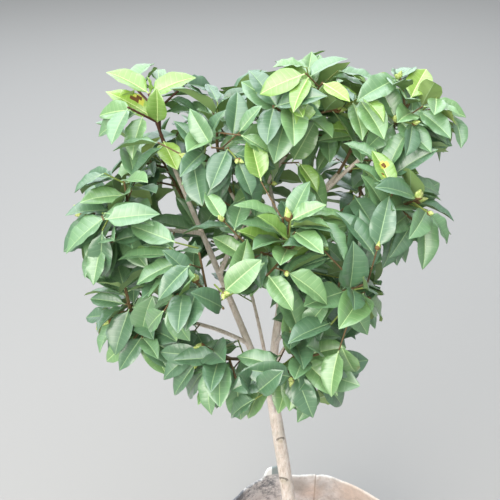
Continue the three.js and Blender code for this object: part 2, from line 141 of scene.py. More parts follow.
Branch = namedtuple("Branch", "name source at root rise centre reach lift tint shoots")
BRANCHES = [Branch(*row[:5], np.array(row[5]), *row[6:]) for row in (
    ("right_top", "trunk", 1, 0.0068, 0.55, (0.03, 0.118, 1.056), 0.096, 0.8, "fresh", 5),
    ("left_top", "trunk", 0.94, 0.0064, 0.02, (-0.22, 0.084, 1.098), 0.094, 0.9, "young", 4),
    ("centre_top", "left_top", 0.56, 0.0036, 0.1, (-0.034, 0.058, 1.11), 0.098, 0.95, "fresh", 5),
    ("inner_left", "right_top", 0.3, 0.0034, 0.12, (-0.14, 0.05, 1.062), 0.096, 1, "mature", 5),
    ("right_tip", "right_top", 0.8, 0.003, 0.1, (0.082, 0.056, 1.108), 0.088, 0.75, "fresh", 4),
    ("right_mid", "right_top", 0.68, 0.003, 0.1, (0.062, -0.014, 1.032), 0.092, 0.35, "mature", 5),
    ("right_low", "right_top", 0.44, 0.003, 0.2, (-0.002, -0.078, 0.966), 0.092, 0.3, "mature", 5),
    ("centre", "right_top", 0.5, 0.003, 0.4, (-0.06, -0.058, 0.998), 0.098, 0.55, "fresh", 5),
    ("lower_front", "right_top", 0.14, 0.0032, 0.3, (-0.046, -0.104, 0.892), 0.096, 0.25, "mature", 5),
    ("lower_left", "trunk", 0.87, 0.0032, 0.3, (-0.124, -0.104, 0.892), 0.094, 0.25, "mature", 5),
    ("mid_left", "left_top", 0.4, 0.0032, 0.3, (-0.146, -0.078, 0.966), 0.098, 0.45, "mature", 5),
    ("left_mid", "left_top", 0.72, 0.0032, 0, (-0.242, -0.006, 1), 0.098, 0.5, "mature", 5),
    ("left_low", "left_top", 0.27, 0.0032, 0.1, (-0.228, -0.014, 0.872), 0.096, 0.35, "mature", 5),
    ("back_left", "left_top", 0.48, 0.0032, 0.2, (-0.204, 0.156, 0.968), 0.098, 0.45, "mature", 5),
    ("back", "right_top", 0.36, 0.0032, 0.3, (-0.082, 0.182, 1.02), 0.104, 0.5, "mature", 5),
    ("back_right", "right_top", 0.24, 0.0032, 0.3, (0.048, 0.15, 0.926), 0.098, 0.35, "mature", 5),
    ("back_low", "trunk", 0.9, 0.003, 0.3, (-0.112, 0.144, 0.856), 0.096, 0.25, "mature", 5),
    ("side_low", "right_top", 0.08, 0.003, 0.3, (0.024, 0.034, 0.86), 0.088, 0.3, "mature", 4),
)]
CENTRES = np.array([branch.centre for branch in BRANCHES])
REACHES = np.array([branch.reach for branch in BRANCHES])


# Vectors, random draws and noise

def unit(vector):
    """A vector's direction."""
    return vector / np.linalg.norm(vector)


def mix(start, end, share):
    """What lies between two values at a share of the way."""
    return start + (end - start) * share


def smooth(value, low, high):
    """Runs from 0 to 1 between two limits, flat at both ends."""
    share = np.clip((value - low) / (high - low), 0, 1)
    return share * share * (3 - 2 * share)


def bump(value, middle, width):
    """A rounded bump 1 high."""
    return np.exp(-((value - middle) / width) ** 2)


def turned(vector, axis, angle):
    """A vector turned about a unit axis."""
    return (vector * math.cos(angle) + np.cross(axis, vector) * math.sin(angle)
            + axis * (axis @ vector) * (1 - math.cos(angle)))


DRAW_FACTOR, DRAW_RANGE = 16807, 2147483647


class Draws:
    """Random numbers between two limits, the same ones in each run."""

    def __init__(self, seed):
        self.state = seed

    def between(self, low, high):
        self.state = self.state * DRAW_FACTOR % DRAW_RANGE
        return low + (high - low) * self.state / DRAW_RANGE


# Random heights at the corners of a block of cells, which repeats
CELLS, CELL_SEED = 32, 11
LATTICE = np.random.default_rng(CELL_SEED).random((CELLS, CELLS, CELLS)) * 2 - 1


def noise(points, size):
    """Smooth random heights from -1 to 1 at points in space, with one swing to each `size`."""
    scaled = np.asarray(points, float) / size
    cell = np.floor(scaled).astype(int)
    part = smooth(scaled - cell, 0, 1)
    total = np.zeros(scaled.shape[:-1])
    for corner in np.ndindex(2, 2, 2):
        x, y, z = np.moveaxis((cell + corner) % CELLS, -1, 0)
        total += np.prod(np.where(corner, part, 1 - part), axis=-1) * LATTICE[x, y, z]
    return total


# Stems

class Stem:
    """A tapering stem along a Bezier curve, with the number of leaves that it carries."""

    def __init__(self, controls, radii, leaves=0, parent_radius=0.0):
        self.controls = [np.asarray(point, float) for point in controls]
        self.radii = radii
        self.leaves = leaves
        self.parent_radius = parent_radius

    def point(self, share):
        share = np.asarray(share, float)[..., None]
        level = self.controls
        while len(level) > 1:
            level = [start + (end - start) * share for start, end in zip(level, level[1:])]
        return level[0] + 0 * share

    def heading(self, share):
        step = 1e-4
        return unit(self.point(min(1, share + step)) - self.point(max(0, share - step)))

    @functools.cached_property
    def length(self):
        return np.linalg.norm(np.diff(self.point(np.linspace(0, 1, 201)), axis=0), axis=1).sum()

    def radius(self, share):
        return mix(*self.radii, share)

    @functools.cached_property
    def beads(self):
        """Balls along the stem that stand for it when leaves and twigs keep clear: x, y, z, radius."""
        shares = np.linspace(0, 1, math.ceil(self.length / BEAD_SPACING) + 1)
        return np.column_stack((self.point(shares), self.radius(shares)))


class Trunk(Stem):
    """The trunk flares at its foot."""

    def radius(self, share):
        return mix(*self.radii, share) + TRUNK_FLARE * np.exp(-share * self.length / FLARE_HEIGHT)


def bent(start, heading, tip, lead):
    """Bezier points that set out along `heading` for a share `lead` and bend to the tip."""
    length = np.linalg.norm(tip - start)
    middle = start + unit(tip - start) * length * 0.5 * (1 - lead) + heading * length * lead
    return start, middle, tip


def make_bough(branch, parent):
    """A bough, from its parent to just inside its mass's ball."""
    heading, start = parent.heading(branch.at), parent.point(branch.at)
    if branch.at == 1:
        start = start + heading * GAP
    inside = branch.reach * BOUGH_ENTRY / np.linalg.norm(branch.centre - start)
    tip = mix(branch.centre, start, inside)
    curve = bent(start, unit(mix(heading, UP, 0.5)), tip, branch.rise)
    return Stem(curve, (branch.root, BOUGH_TIP), parent_radius=parent.radius(branch.at))


def make_leader(branch, bough):
    """A mass's leader, which carries its bough on up and outward."""
    heading = bough.heading(1)
    outward = unit(branch.centre - np.array((*CROWN_AXIS, branch.centre[2])))
    tip = branch.centre + unit(mix(outward, UP, branch.lift)) * branch.reach * LEADER_PAST
    curve = bent(bough.point(1) + heading * GAP, heading, tip, LEADER_LEAD)
    return Stem(curve, (BOUGH_TIP, LEADER_TIP), LEADER_LEAVES)


# Growth of the foliage, by the source's rule

def in_space(index, points, margin):
    """True where all points lie in the mass's ball and on its side of every neighbour's border, or
    for the finer twigs, which belong to no one mass, in any mass's ball."""
    points = np.reshape(points, (-1, 3))
    if index is None:
        away = np.linalg.norm(points[:, None] - CENTRES[None], axis=2)
        return bool((away < REACHES - margin).any(axis=1).all())
    own, reach = CENTRES[index], REACHES[index]
    away = np.linalg.norm(points - own, axis=1)
    if (away > reach - margin).any():
        return False
    others = np.arange(len(BRANCHES)) != index
    far = np.linalg.norm(points[:, None] - CENTRES[None, others], axis=2)
    spare = far ** 2 - REACHES[others] ** 2 - away[:, None] ** 2 + reach ** 2
    return bool((spare / (2 * np.linalg.norm(CENTRES[others] - own, axis=1)) > margin).all())


def leaning(axis, turn, lean):
    """A direction that leans from an axis to one side of it."""
    across = UP if abs(axis[2]) < 0.9 else np.array((1.0, 0.0, 0.0))
    side = turned(unit(np.cross(axis, across)), axis, turn)
    return axis * math.cos(lean) + side * math.sin(lean)


class Leaf:
    """A leaf's frame and outline points, from its root, heading, upper side and length."""

    def __init__(self, root, heading, upper, length):
        self.root, self.length = root, length
        self.ahead = unit(heading)
        self.normal = unit(upper - self.ahead * (upper @ self.ahead))
        self.across = np.cross(self.ahead, self.normal)
        width = LEAF_WIDTH * length
        self.middle = self.spine(LEAF_WIDEST)
        edge = self.across * width / 2
        self.left = self.middle - edge + self.normal * LEAF_FOLD * width
        self.right = self.middle + edge + self.normal * LEAF_FOLD * width
        self.tip, inner = self.spine(1), self.spine(LEAF_NECK)
        self.corners = np.array((self.tip, self.left, self.right, self.middle))
        self.faces = np.array(((inner, self.left, self.tip), (inner, self.tip, self.right)))
        self.edges = np.array(((inner, self.tip), (inner, self.left), (self.left, self.tip),
                               (inner, self.right), (self.right, self.tip)))

    def spine(self, share):
        along = self.ahead * self.length * share
        return self.root + along - self.normal * LEAF_ARCH * self.length * share * share


def distance_to_face(points, face):
    """How far each point is from a triangle."""
    normal = unit(np.cross(face[1] - face[0], face[2] - face[0]))
    inside = np.ones(len(points), bool)
    nearest = np.full(len(points), np.inf)
    for start, end in zip(face, np.roll(face, -1, axis=0)):
        along, offset = end - start, points - start
        inside &= np.cross(along, offset) @ normal >= 0
        share = np.clip(offset @ along / (along @ along), 0, 1)
        nearest = np.minimum(nearest, np.linalg.norm(offset - share[:, None] * along, axis=1))
    return np.where(inside, np.abs((points - face[0]) @ normal), nearest)


def touches_wood(leaf, beads):
    """True where a leaf comes too near any of the balls that stand for the wood."""
    points, radii = beads[:, :3], beads[:, 3]
    near = np.linalg.norm(points - leaf.middle, axis=1) < LEAF_LENGTH + radii
    return any((distance_to_face(points[near], face) < radii[near] + LEAF_CLEARANCE).any()
               for face in leaf.faces)


def any_pierced(edges, faces):
    """True where any edge passes through any face."""
    start = edges[:, None, 0]
    along = edges[:, None, 1] - start
    corners = faces[None]
    normal = np.cross(corners[:, :, 1] - corners[:, :, 0], corners[:, :, 2] - corners[:, :, 0])
    slope = (along * normal).sum(-1)
    slope[np.abs(slope) < 1e-18] = np.nan
    share = ((corners[:, :, 0] - start) * normal).sum(-1) / slope
    hit = start + along * share[..., None]
    inside = (share >= 0) & (share < 1)
    for i in range(3):
        side = corners[:, :, (i + 1) % 3] - corners[:, :, i]
        inside &= (np.cross(side, hit - corners[:, :, i]) * normal).sum(-1) >= 0
    return bool(inside.any())


class Foliage:
    """All leaves so far, in arrays that the next leaf is tested against."""

    def __init__(self):
        self.middles, self.lengths = np.empty((0, 3)), np.empty(0)
        self.faces, self.edges = np.empty((0, 2, 3, 3)), np.empty((0, 5, 2, 3))

    def add(self, leaf):
        self.middles = np.concatenate((self.middles, leaf.middle[None]))
        self.lengths = np.append(self.lengths, leaf.length)
        self.faces = np.concatenate((self.faces, leaf.faces[None]))
        self.edges = np.concatenate((self.edges, leaf.edges[None]))

    def near(self, place, reach):
        return np.linalg.norm(self.middles - place, axis=1) < self.lengths + reach

    def pierced_by(self, leaf):
        """True where a leaf and any of the leaves before it pass through each other."""
        near = self.near(leaf.middle, leaf.length)
        if not near.any():
            return False
        return (any_pierced(leaf.edges, self.faces[near].reshape(-1, 3, 3))
                or any_pierced(self.edges[near].reshape(-1, 2, 3), leaf.faces))

    def touched_by(self, points, radius):
        """True where a twig's balls come too near a leaf."""
        near = self.near(points.mean(axis=0), np.ptp(points, axis=0).max())
        return any((distance_to_face(points, face) < radius + TWIG_CLEARANCE).any()
                   for face in self.faces[near].reshape(-1, 3, 3))


def grow_shoot(index, parent, wood, share, turn, lean, length, rule, foliage=None):
    """A straight shoot from a stem, turned or cut shorter until it has room, or none."""
    start, axis = parent.point(share), parent.heading(share)
    radius = rule["radii"][0]
    for attempt in range(rule["tries"]):
        heading = leaning(axis, turn + attempt * GOLDEN_ANGLE, lean)
        reach = length if attempt < rule["tries"] / 2 else length * rule["cut"]
        shoot = Stem((start, start + heading * reach), rule["radii"], rule["leaves"])
        points = shoot.beads[:, :3]
        if not in_space(index, points, radius + SPACE_MARGIN):
            continue
        gaps = np.linalg.norm(points[:, None] - wood[None, :, :3], axis=2) - wood[:, 3]
        if (gaps > radius + TWIG_CLEARANCE).all() and not (
                foliage and foliage.touched_by(points[1:], radius)):
            return shoot
    return None


def in_opening(leaf, room):
    """True where a leaf would stand between the viewer and one of the crown's openings."""
    if any_pierced(leaf.edges, OPENINGS):
        return True
    points = np.concatenate((leaf.corners, leaf.faces.mean(axis=1), leaf.edges.mean(axis=1)))
    return any((distance_to_face(points, sheet) < room).any() for sheet in OPENINGS)


def grow_leaf(index, shoot, share, pose, wood, foliage):
    """One leaf on a shoot, turned about it until it has room, or none."""
    root, axis = shoot.point(share), shoot.heading(share)
    room = FINE_OPENING_ROOM if index is None else OPENING_ROOM
    for attempt in range(LEAVES["tries"]):
        swing = math.ceil(attempt / 2) * (LEAVES["turn"] if attempt % 2 else -LEAVES["turn"])
        heading = unit(leaning(axis, pose["turn"] + swing, pose["lean"]) - UP * pose["droop"])
        upper = turned(UP * LEAVES["upright"] + axis, heading, pose["roll"])
        late = attempt > LEAVES["tries"] / 2
        leaf = Leaf(root, heading, upper, pose["length"] * (LEAVES["small"] if late else 1))
        if (in_space(index, leaf.corners, SPACE_MARGIN + LEAF_THICK / 2) and not in_opening(leaf, room)
                and not touches_wood(leaf, wood) and not foliage.pierced_by(leaf)):
            return leaf
    return None


def young_leaves(leader):
    """The leaves of the young shoot's leader, which stand as the photo shows them."""
    sine, cosine = math.sin(CAMERA_PITCH), math.cos(CAMERA_PITCH)
    seen = np.array(((1, 0, 0), (0, sine, cosine), (0, cosine, -sine)))
    leaves = []
    for share, heading, upper, length in YOUNG_SHOOT:
        share = min(share, LAST_SHARE)
        leaf = Leaf(leader.point(share), unit(np.array(heading) @ seen), np.array(upper) @ seen, length)
        leaf.order, leaf.share = 1, share
        leaves.append(leaf)
    return leaves


def leaf_out(index, shoot, random, wood, foliage, size):
    """Grows a shoot's leaves from its tip back, and returns them."""
    own = []
    for i in range(shoot.leaves):
        share = LEAVES["first"] - LEAVES["leafy"] * i / shoot.leaves
        waver = LEAVES["waver"]
        pose = {
            "turn": i * GOLDEN_ANGLE + random.between(-LEAVES["swing"], LEAVES["swing"]),
            "lean": LEAVES["lean"] + LEAVES["spread"] * min(1, i / 2) + random.between(-waver, waver),
            "droop": random.between(*LEAVES["droop"]),
            "roll": random.between(-LEAVES["roll"], LEAVES["roll"]),
            "length": LEAF_LENGTH * size * random.between(*LEAVES["size"]),
        }
        if i == 0:
            pose["length"] *= LEAVES["tip_size"]
        leaf = grow_leaf(index, shoot, share, pose, wood, foliage)
        if leaf:
            leaf.order, leaf.share = i, share
            foliage.add(leaf)
            own.append(leaf)
    return own


Spray = namedtuple("Spray", "stem leaves fine")
# How far a twig runs on past its outermost leaf, as a share of its length
STUB = 0.03


def grow_mass(index, leader, wood, foliage, leaders_leaves):
    """A mass's sprays, as in its solid: its leader and its side shoots, each with its leaves."""
    branch = BRANCHES[index]
    random = Draws(FIRST_SEED + SEED_STEP * index)
    shoots = [leader]
    for i in range(branch.shoots):
        share = SHOOTS["first"] + SHOOTS["span"] * (i + 0.5) / branch.shoots
        turn = i * GOLDEN_ANGLE + random.between(-SHOOTS["swing"], SHOOTS["swing"])
        lean = random.between(*SHOOTS["lean"])
        length = branch.reach * random.between(*SHOOTS["length"])
        length *= SHOOTS["longest"] - SHOOTS["shorten"] * share
        shoot = grow_shoot(index, leader, wood, share, turn, lean, length, SHOOTS)
        if shoot:
            shoots.append(shoot)
    sprays = []
    for shoot in shoots:
        beads = np.concatenate([wood] + [other.beads for other in shoots if other is not shoot])
        given = leaders_leaves if shoot is leader else None
        leaves = given or leaf_out(index, shoot, random, beads, foliage, LEAF_SIZE[branch.tint])
        sprays.append(Spray(shoot, leaves, False))
    return sprays


def grow_finer(index, parents, stems, foliage):
    """The finer twigs of a mass, which may cross into its neighbours' spaces where there is room."""
    random = Draws(FINE["seed"] + SEED_STEP * index)
    size = LEAF_SIZE[BRANCHES[index].tint] * FINE["size"]
    sprays = []
    for parent, first in parents:
        count = round(parent.length * (1 - first) / FINE["spacing"])
        for i in range(count):
            share = mix(first, 1, (i + 0.5) / count)
            turn, lean = random.between(0, math.tau), random.between(*FINE["lean"])
            length = random.between(*FINE["length"])
            others = np.concatenate([stem.beads for stem in stems if stem is not parent])
            twig = grow_shoot(None, parent, others, share, turn, lean, length, FINE, foliage)
            if not twig:
                continue
            wood = np.concatenate([stem.beads for stem in stems])
            stems.append(twig)
            sprays.append(Spray(twig, leaf_out(None, twig, random, wood, foliage, size), True))
    return sprays


def spray_end(spray):
    """The share of its stem at which a spray ends, just past its outermost leaf."""
    return min(1.0, max(leaf.share for leaf in spray.leaves) + STUB)


Plant = namedtuple("Plant", "stems masses")


@functools.cache
def grown_plant():
    """The trunk and boughs by their nodes' names, and each mass's sprays."""
    foot, fork = np.array(TRUNK_FOOT, float), np.array(TRUNK_FORK)
    bends = [mix(foot, fork, share) + sway for share, sway in TRUNK_SWAY]
    stems = {"trunk": Trunk((foot, *bends, fork), TRUNK_RADII)}
    leaders = []
    for branch in BRANCHES:
        parent = stems["trunk" if branch.source == "trunk" else f"bough_{branch.source}"]
        bough = make_bough(branch, parent)
        stems[f"bough_{branch.name}"] = bough
        leaders.append(make_leader(branch, bough))
    masses, foliage = [], Foliage()
    given = {index: young_leaves(leaders[index]) for index, branch in enumerate(BRANCHES)
             if branch.tint == "young"}
    for leaf in sum(given.values(), []):
        foliage.add(leaf)
    for index, branch in enumerate(BRANCHES):
        own = stems[f"bough_{branch.name}"]
        wood = [stem.beads[:-2] if stem is own else stem.beads for stem in stems.values()]
        wood += [leader.beads for leader in leaders if leader is not leaders[index]]
        masses.append(grow_mass(index, leaders[index], np.concatenate(wood), foliage, given.get(index)))
    every = [*stems.values(), *(spray.stem for sprays in masses for spray in sprays)]
    for index, branch in enumerate(BRANCHES):
        if branch.tint == "young":
            continue
        parents = [(spray.stem, FINE["first"]) for spray in masses[index]]
        if branch.root < MAIN_ROOT:
            parents.append((stems[f"bough_{branch.name}"], SPUR_FROM))
        masses[index] += grow_finer(index, parents, every, foliage)
    return Plant(stems, masses)


# Meshes

# A stem's fewest rings, how far its two ends stand out as shares of its radius, and how much and
# over what length it swells where a leaf grows
FEWEST_RINGS, END_ROUND, NODE_SWELL, NODE_WIDTH = 4, (0.3, 0.6), 0.3, 0.0012


class Skin:
    """The points and faces of one piece, with each face's finish."""

    def __init__(self):
        self.points, self.faces, self.finishes, self.ages = [], [], [], []

    def add(self, points, faces, finish=0, age=None):
        """Adds points, faces that index them, and a finish for all faces or for each one."""
        first = sum(map(len, self.points))
        self.points.append(np.reshape(points, (-1, 3)))
        self.faces += [[first + corner for corner in face] for face in faces]
        self.finishes += [finish] * len(faces) if isinstance(finish, int) else list(finish)
        if age is not None:
            self.ages.append(np.ravel(age))

    def piece(self, name, materials, slot, nodes, sharp=None):
        """Makes the mesh object, rides it on the plant's body and lets it stand for its nodes."""
        mesh = bpy.data.meshes.new(name)
        mesh.from_pydata(np.concatenate(self.points).tolist(), [], self.faces)
        for material in materials:
            mesh.materials.append(material)
        mesh.polygons.foreach_set("material_index", self.finishes)
        mesh.polygons.foreach_set("use_smooth", [True] * len(mesh.polygons))
        if self.ages:
            attribute = mesh.attributes.new("age", "FLOAT", "POINT")
            attribute.data.foreach_set("value", np.concatenate(self.ages))
        mesh.update()
        if sharp:
            mesh.set_sharp_from_angle(angle=sharp)
        piece = bpy.data.objects.new(name, mesh)
        bpy.context.scene.collection.objects.link(piece)
        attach(piece, BODY)
        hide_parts(*nodes)


def capped_faces(rows, columns):
    """Quads between closed rows, with a fan to a point before the first and one after the last."""
    last = 1 + rows * columns
    around = [(column, (column + 1) % columns) for column in range(columns)]
    low = [(0, 1 + after, 1 + here) for here, after in around]
    high = [(last, last - columns + here, last - columns + after) for here, after in around]
    quads = [(first + here, first + after, first + columns + after, first + columns + here)
             for first in range(1, last - columns, columns) for here, after in around]
    return low + quads + high


def closed(first, rings, last):
    """Points and faces of a closed form between two end points."""
    rings = np.asarray(rings)
    return np.concatenate(([first], rings.reshape(-1, 3), [last])), capped_faces(*rings.shape[:2])


def polar(angle, radius, z):
    """Points at an angle about the upright axis, a radius from it and a height."""
    return np.stack(np.broadcast_arrays(np.cos(angle) * radius, np.sin(angle) * radius, z), axis=-1)


def tube(stem, sides, spacing, end=1.0, relief=None, collar=0.0, nodes=()):
    """Points, faces and ring radii of a closed stem, with a collar where it leaves its parent and a
    swelling at each node."""
    rings = max(FEWEST_RINGS, math.ceil(stem.length / spacing))
    shares = np.linspace(0, 1, rings) * end
    centres, bare = stem.point(shares), stem.radius(shares)
    headings = np.array([stem.heading(share) for share in shares])
    side = unit(np.cross(headings[0], (0.0, 1.0, 0.0) if abs(headings[0][1]) < 0.7 else (1.0, 0.0, 0.0)))
    across = []
    for heading in headings:
        side = unit(side - heading * (side @ heading))
        across.append(side)
    across = np.array(across)[:, None]
    turn = np.linspace(0, math.tau, sides, endpoint=False)[:, None]
    outward = across * np.cos(turn) + np.cross(headings[:, None], across) * np.sin(turn)
    along = shares * stem.length
    radius = bare + collar * np.exp(-np.maximum(0, along - stem.parent_radius) / (3 * collar + 1e-9))
    for share in nodes:
        radius = radius * (1 + NODE_SWELL * bump(along, share * stem.length, NODE_WIDTH))
    points = centres[:, None] + outward * radius[:, None, None]
    if relief:
        points += outward * relief(points)[..., None]
    low = centres[0] - headings[0] * radius[0] * END_ROUND[0]
    high = centres[-1] + headings[-1] * radius[-1] * END_ROUND[1]
    return *closed(low, points, high), bare


# Colours and materials

def linear(hex_code):
    """A linear colour with alpha from an sRGB hex value."""
    values = [int(hex_code[i:i + 2], 16) / 255 for i in (1, 3, 5)]
    return (*(value / 12.92 if value <= 0.04045 else ((value + 0.055) / 1.055) ** 2.4
              for value in values), 1.0)


def add_node(tree, kind, links, output=0, stops=(), **settings):
    """Adds a node, sets it, fills or links its sockets by name, and returns one of its outputs."""
    node = tree.nodes.new("ShaderNode" + kind)
    for name, value in settings.items():
        setattr(node, name, value)
    for name, value in links.items():
        if isinstance(value, bpy.types.NodeSocket):
            tree.links.new(value, node.inputs[name])
        else:
            node.inputs[name].default_value = value
    if stops:
        ramp = node.color_ramp
        ramp.elements.remove(ramp.elements[-1])
        ramp.elements[0].position, ramp.elements[0].color = stops[0]
        for position, shade in stops[1:]:
            ramp.elements.new(position).color = shade
    return node.outputs[output]


def new_material(name, **values):
    """A material with its surface values set on the shader's own sockets, and what adds its nodes."""
    material = bpy.data.materials.new(name)
    material.use_nodes = True
    shader = material.node_tree.nodes["Principled BSDF"]
    for socket, value in values.items():
        shader.inputs[socket.replace("_", " ")].default_value = value
    return material, functools.partial(add_node, material.node_tree)


def layer(add, under, value, low, high, most, shade):
    """Lays a colour over another, by a share that runs from 0 to `most` as a value runs from one
    limit to the other."""
    share = add("MapRange", {"Value": value, "From Min": low, "From Max": high, "To Max": most})
    return add("MixRGB", {"Fac": share, "Color1": under, "Color2": linear(shade)})


def wire(material, colour, height, depth):
    """Links a pattern's colour and bump to the material's shader."""
    tree = material.node_tree
    shader = tree.nodes["Principled BSDF"]
    tree.links.new(colour, shader.inputs["Base Color"])
    tree.links.new(add_node(tree, "Bump", {"Height": height, "Distance": depth}), shader.inputs["Normal"])


# The felt's patterns, which are tufts, mats, patches and specks: size, detail and roughness
FELT_GRAINS = ((0.0016, 5.0, 0.7), (0.014, 4.0, 0.6), (0.07, 3.0, 0.55), (0.008, 4.0, 0.75))
# Stains at places of their own on the felt: middle, reach, strength and colour
FELT_STAINS = (
    ((0.02, 0.168, 0.268), 0.03, 0.7, "#DFC0A4"), ((-0.01, 0.168, 0.285), 0.03, 1.2, "#978F84"),
    ((0.04, 0.165, 0.29), 0.02, 0.6, "#A5A09B"), ((0.1, 0.14, 0.29), 0.05, 0.8, "#E3C5AA"),
)


def felt_material(settings):
    """Needle-punched felt of matted fibres: dull and fluffy, bleached by sun, stained by wet soil,
    and speckled grey where mould has taken to it. Single fibres are too fine to show, so they are
    drawn as tufts about 1.6 mm across."""
    material, add = new_material(
        "needle_punched_felt", Roughness=0.95, IOR=1.45, Sheen_Weight=0.25, Sheen_Roughness=0.6)
    place = add("TexCoord", {}, output=3)
    x, y, z = add("SeparateXYZ", {"Vector": place}).node.outputs
    tufts, mats, patches, specks = (
        add("TexNoise", {"Vector": place, "Scale": 1 / size, "Detail": detail, "Roughness": rough})
        for size, detail, rough in FELT_GRAINS)
    # Soil has stained the right side, and mould has taken to the left and upper felt
    right = add("MapRange", {"Value": x, "From Min": 0.02, "From Max": 0.15})
    stained = add("Math", {0: right, 1: patches}, operation="MULTIPLY")
    left = add("MapRange", {"Value": x, "From Min": 0.03, "From Max": -0.06, "To Min": 0.22})
    upper = add("MapRange", {"Value": z, "From Min": 0.1, "From Max": 0.25, "To Min": 0.4})
    mouldy = add("Math", {0: left, 1: upper}, operation="MULTIPLY")
    specks = add("Math", {0: specks, 1: patches}, operation="ADD")
    specks = add("MapRange", {"Value": specks, "From Min": 0.88, "From Max": 1.12})
    specks = add("Math", {0: mouldy, 1: specks}, operation="MULTIPLY")
    low = add("Math", {0: patches, 1: 0.16, 2: z}, operation="MULTIPLY_ADD")
    # Painted shade and a brown stain along the stitched lap at the back, a thread's width either side of its
    # line, where the overlapping felt shades its edge
    across = (-math.sin(SEAM_ANGLE), math.cos(SEAM_ANGLE), 0.0)
    lap_stain_and_shade = add("VectorMath", {0: place, 1: across}, output=1, operation="DOT_PRODUCT")
    lap_stain_and_shade = add("Math", {0: lap_stain_and_shade}, operation="ABSOLUTE")
    lap_stain_and_shade = add("MapRange", {"Value": lap_stain_and_shade, "From Min": 0.0016, "From Max": 0.0006})
    behind = add("MapRange", {"Value": y, "From Min": 0.02, "From Max": 0.04})
    lap_stain_and_shade = add("Math", {0: lap_stain_and_shade, 1: behind}, operation="MULTIPLY")
    felt = add("ValToRGB", {"Fac": mats}, stops=(
        (0.3, tuple(settings.felt_shade)), (0.62, tuple(settings.felt_colour))))
    # Soil stain, mould's film and its specks, damp, soil splashed low down, and the lap's stain and painted
    # shade
    for value, start, end, most, shade in (
            (stained, 0.12, 0.6, 0.7, "#E6CAB0"), (mouldy, 0, 1, 0.55, "#C3C4C6"),
            (specks, 0, 1, 1, "#696C71"), (low, 0.24, 0.08, 0.85, "#8C7F5E"),
            (low, 0.13, 0.06, 0.8, "#84543C"), (lap_stain_and_shade, 0, 1, 0.6, "#8A6B50")):
        felt = layer(add, felt, value, start, end, most, shade)
    for middle, reach, strength, shade in FELT_STAINS:
        away = add("VectorMath", {0: place, 1: middle}, output=1, operation="DISTANCE")
        away = add("MapRange", {
            "Value": away, "From Min": reach, "From Max": reach * 0.4, "To Max": strength})
        away = add("Math", {0: away, 1: mats}, operation="MULTIPLY")
        felt = add("MixRGB", {"Fac": away, "Color1": felt, "Color2": linear(shade)})
    # The flap stands above the rim: painted light makes its outer face near white, and painted shade makes
    # its inner face grey-blue, as in the shadow of a fold
    raised = add("MapRange", {"Value": z, "From Min": 0.314, "From Max": 0.317})
    outer = add("MapRange", {"Value": x, "From Min": -0.0575, "From Max": -0.059})
    # Painted shade on the flap's inner face, painted light on its outer face
    flap_lit_and_shaded = add("MixRGB", {"Fac": outer, "Color1": linear("#8E9A98"), "Color2": linear("#F6F8F4")})
    felt = add("MixRGB", {"Fac": raised, "Color1": felt, "Color2": flap_lit_and_shaded})
    wire(material, felt, add("Math", {0: tufts, 1: mats}, operation="ADD"), 0.0012)
    return material


def soil_material(settings):
    """Dry red potting soil, tipped and watered: dull red-brown crumbs with paler dry caps. Crumbs
    are about 4 mm across, in drifts of 35 mm."""
    material, add = new_material("dry_red_potting_soil", Roughness=0.97, IOR=1.4)
    place = add("TexCoord", {}, output=3)
    crumbs = add("TexNoise", {"Vector": place, "Scale": 1 / 0.004, "Detail": 6.0, "Roughness": 0.7})
    drifts = add("TexNoise", {"Vector": place, "Scale": 1 / 0.035, "Detail": 3.0})
    both = add("Math", {0: crumbs, 1: drifts}, operation="ADD")
    both = add("MapRange", {"Value": both, "From Min": 0.7, "From Max": 1.3})
    soil = add("ValToRGB", {"Fac": both}, stops=(
        (0.0, linear("#4A2A20")), (0.45, tuple(settings.colour)), (1.0, linear("#B07F66"))))
    wire(material, soil, crumbs, 0.0016)
    return material


# The bark's patterns, which are streaks, pores and films: stretch, size, detail and roughness
BARK_GRAINS = (
    ((1.0, 1.0, 0.22), 0.0035, 5.0, 0.6), ((0.25, 0.25, 1.0), 0.0016, 3.0, 0.6),
    ((1.0, 1.0, 1.0), 0.028, 5.0, 0.65),
)


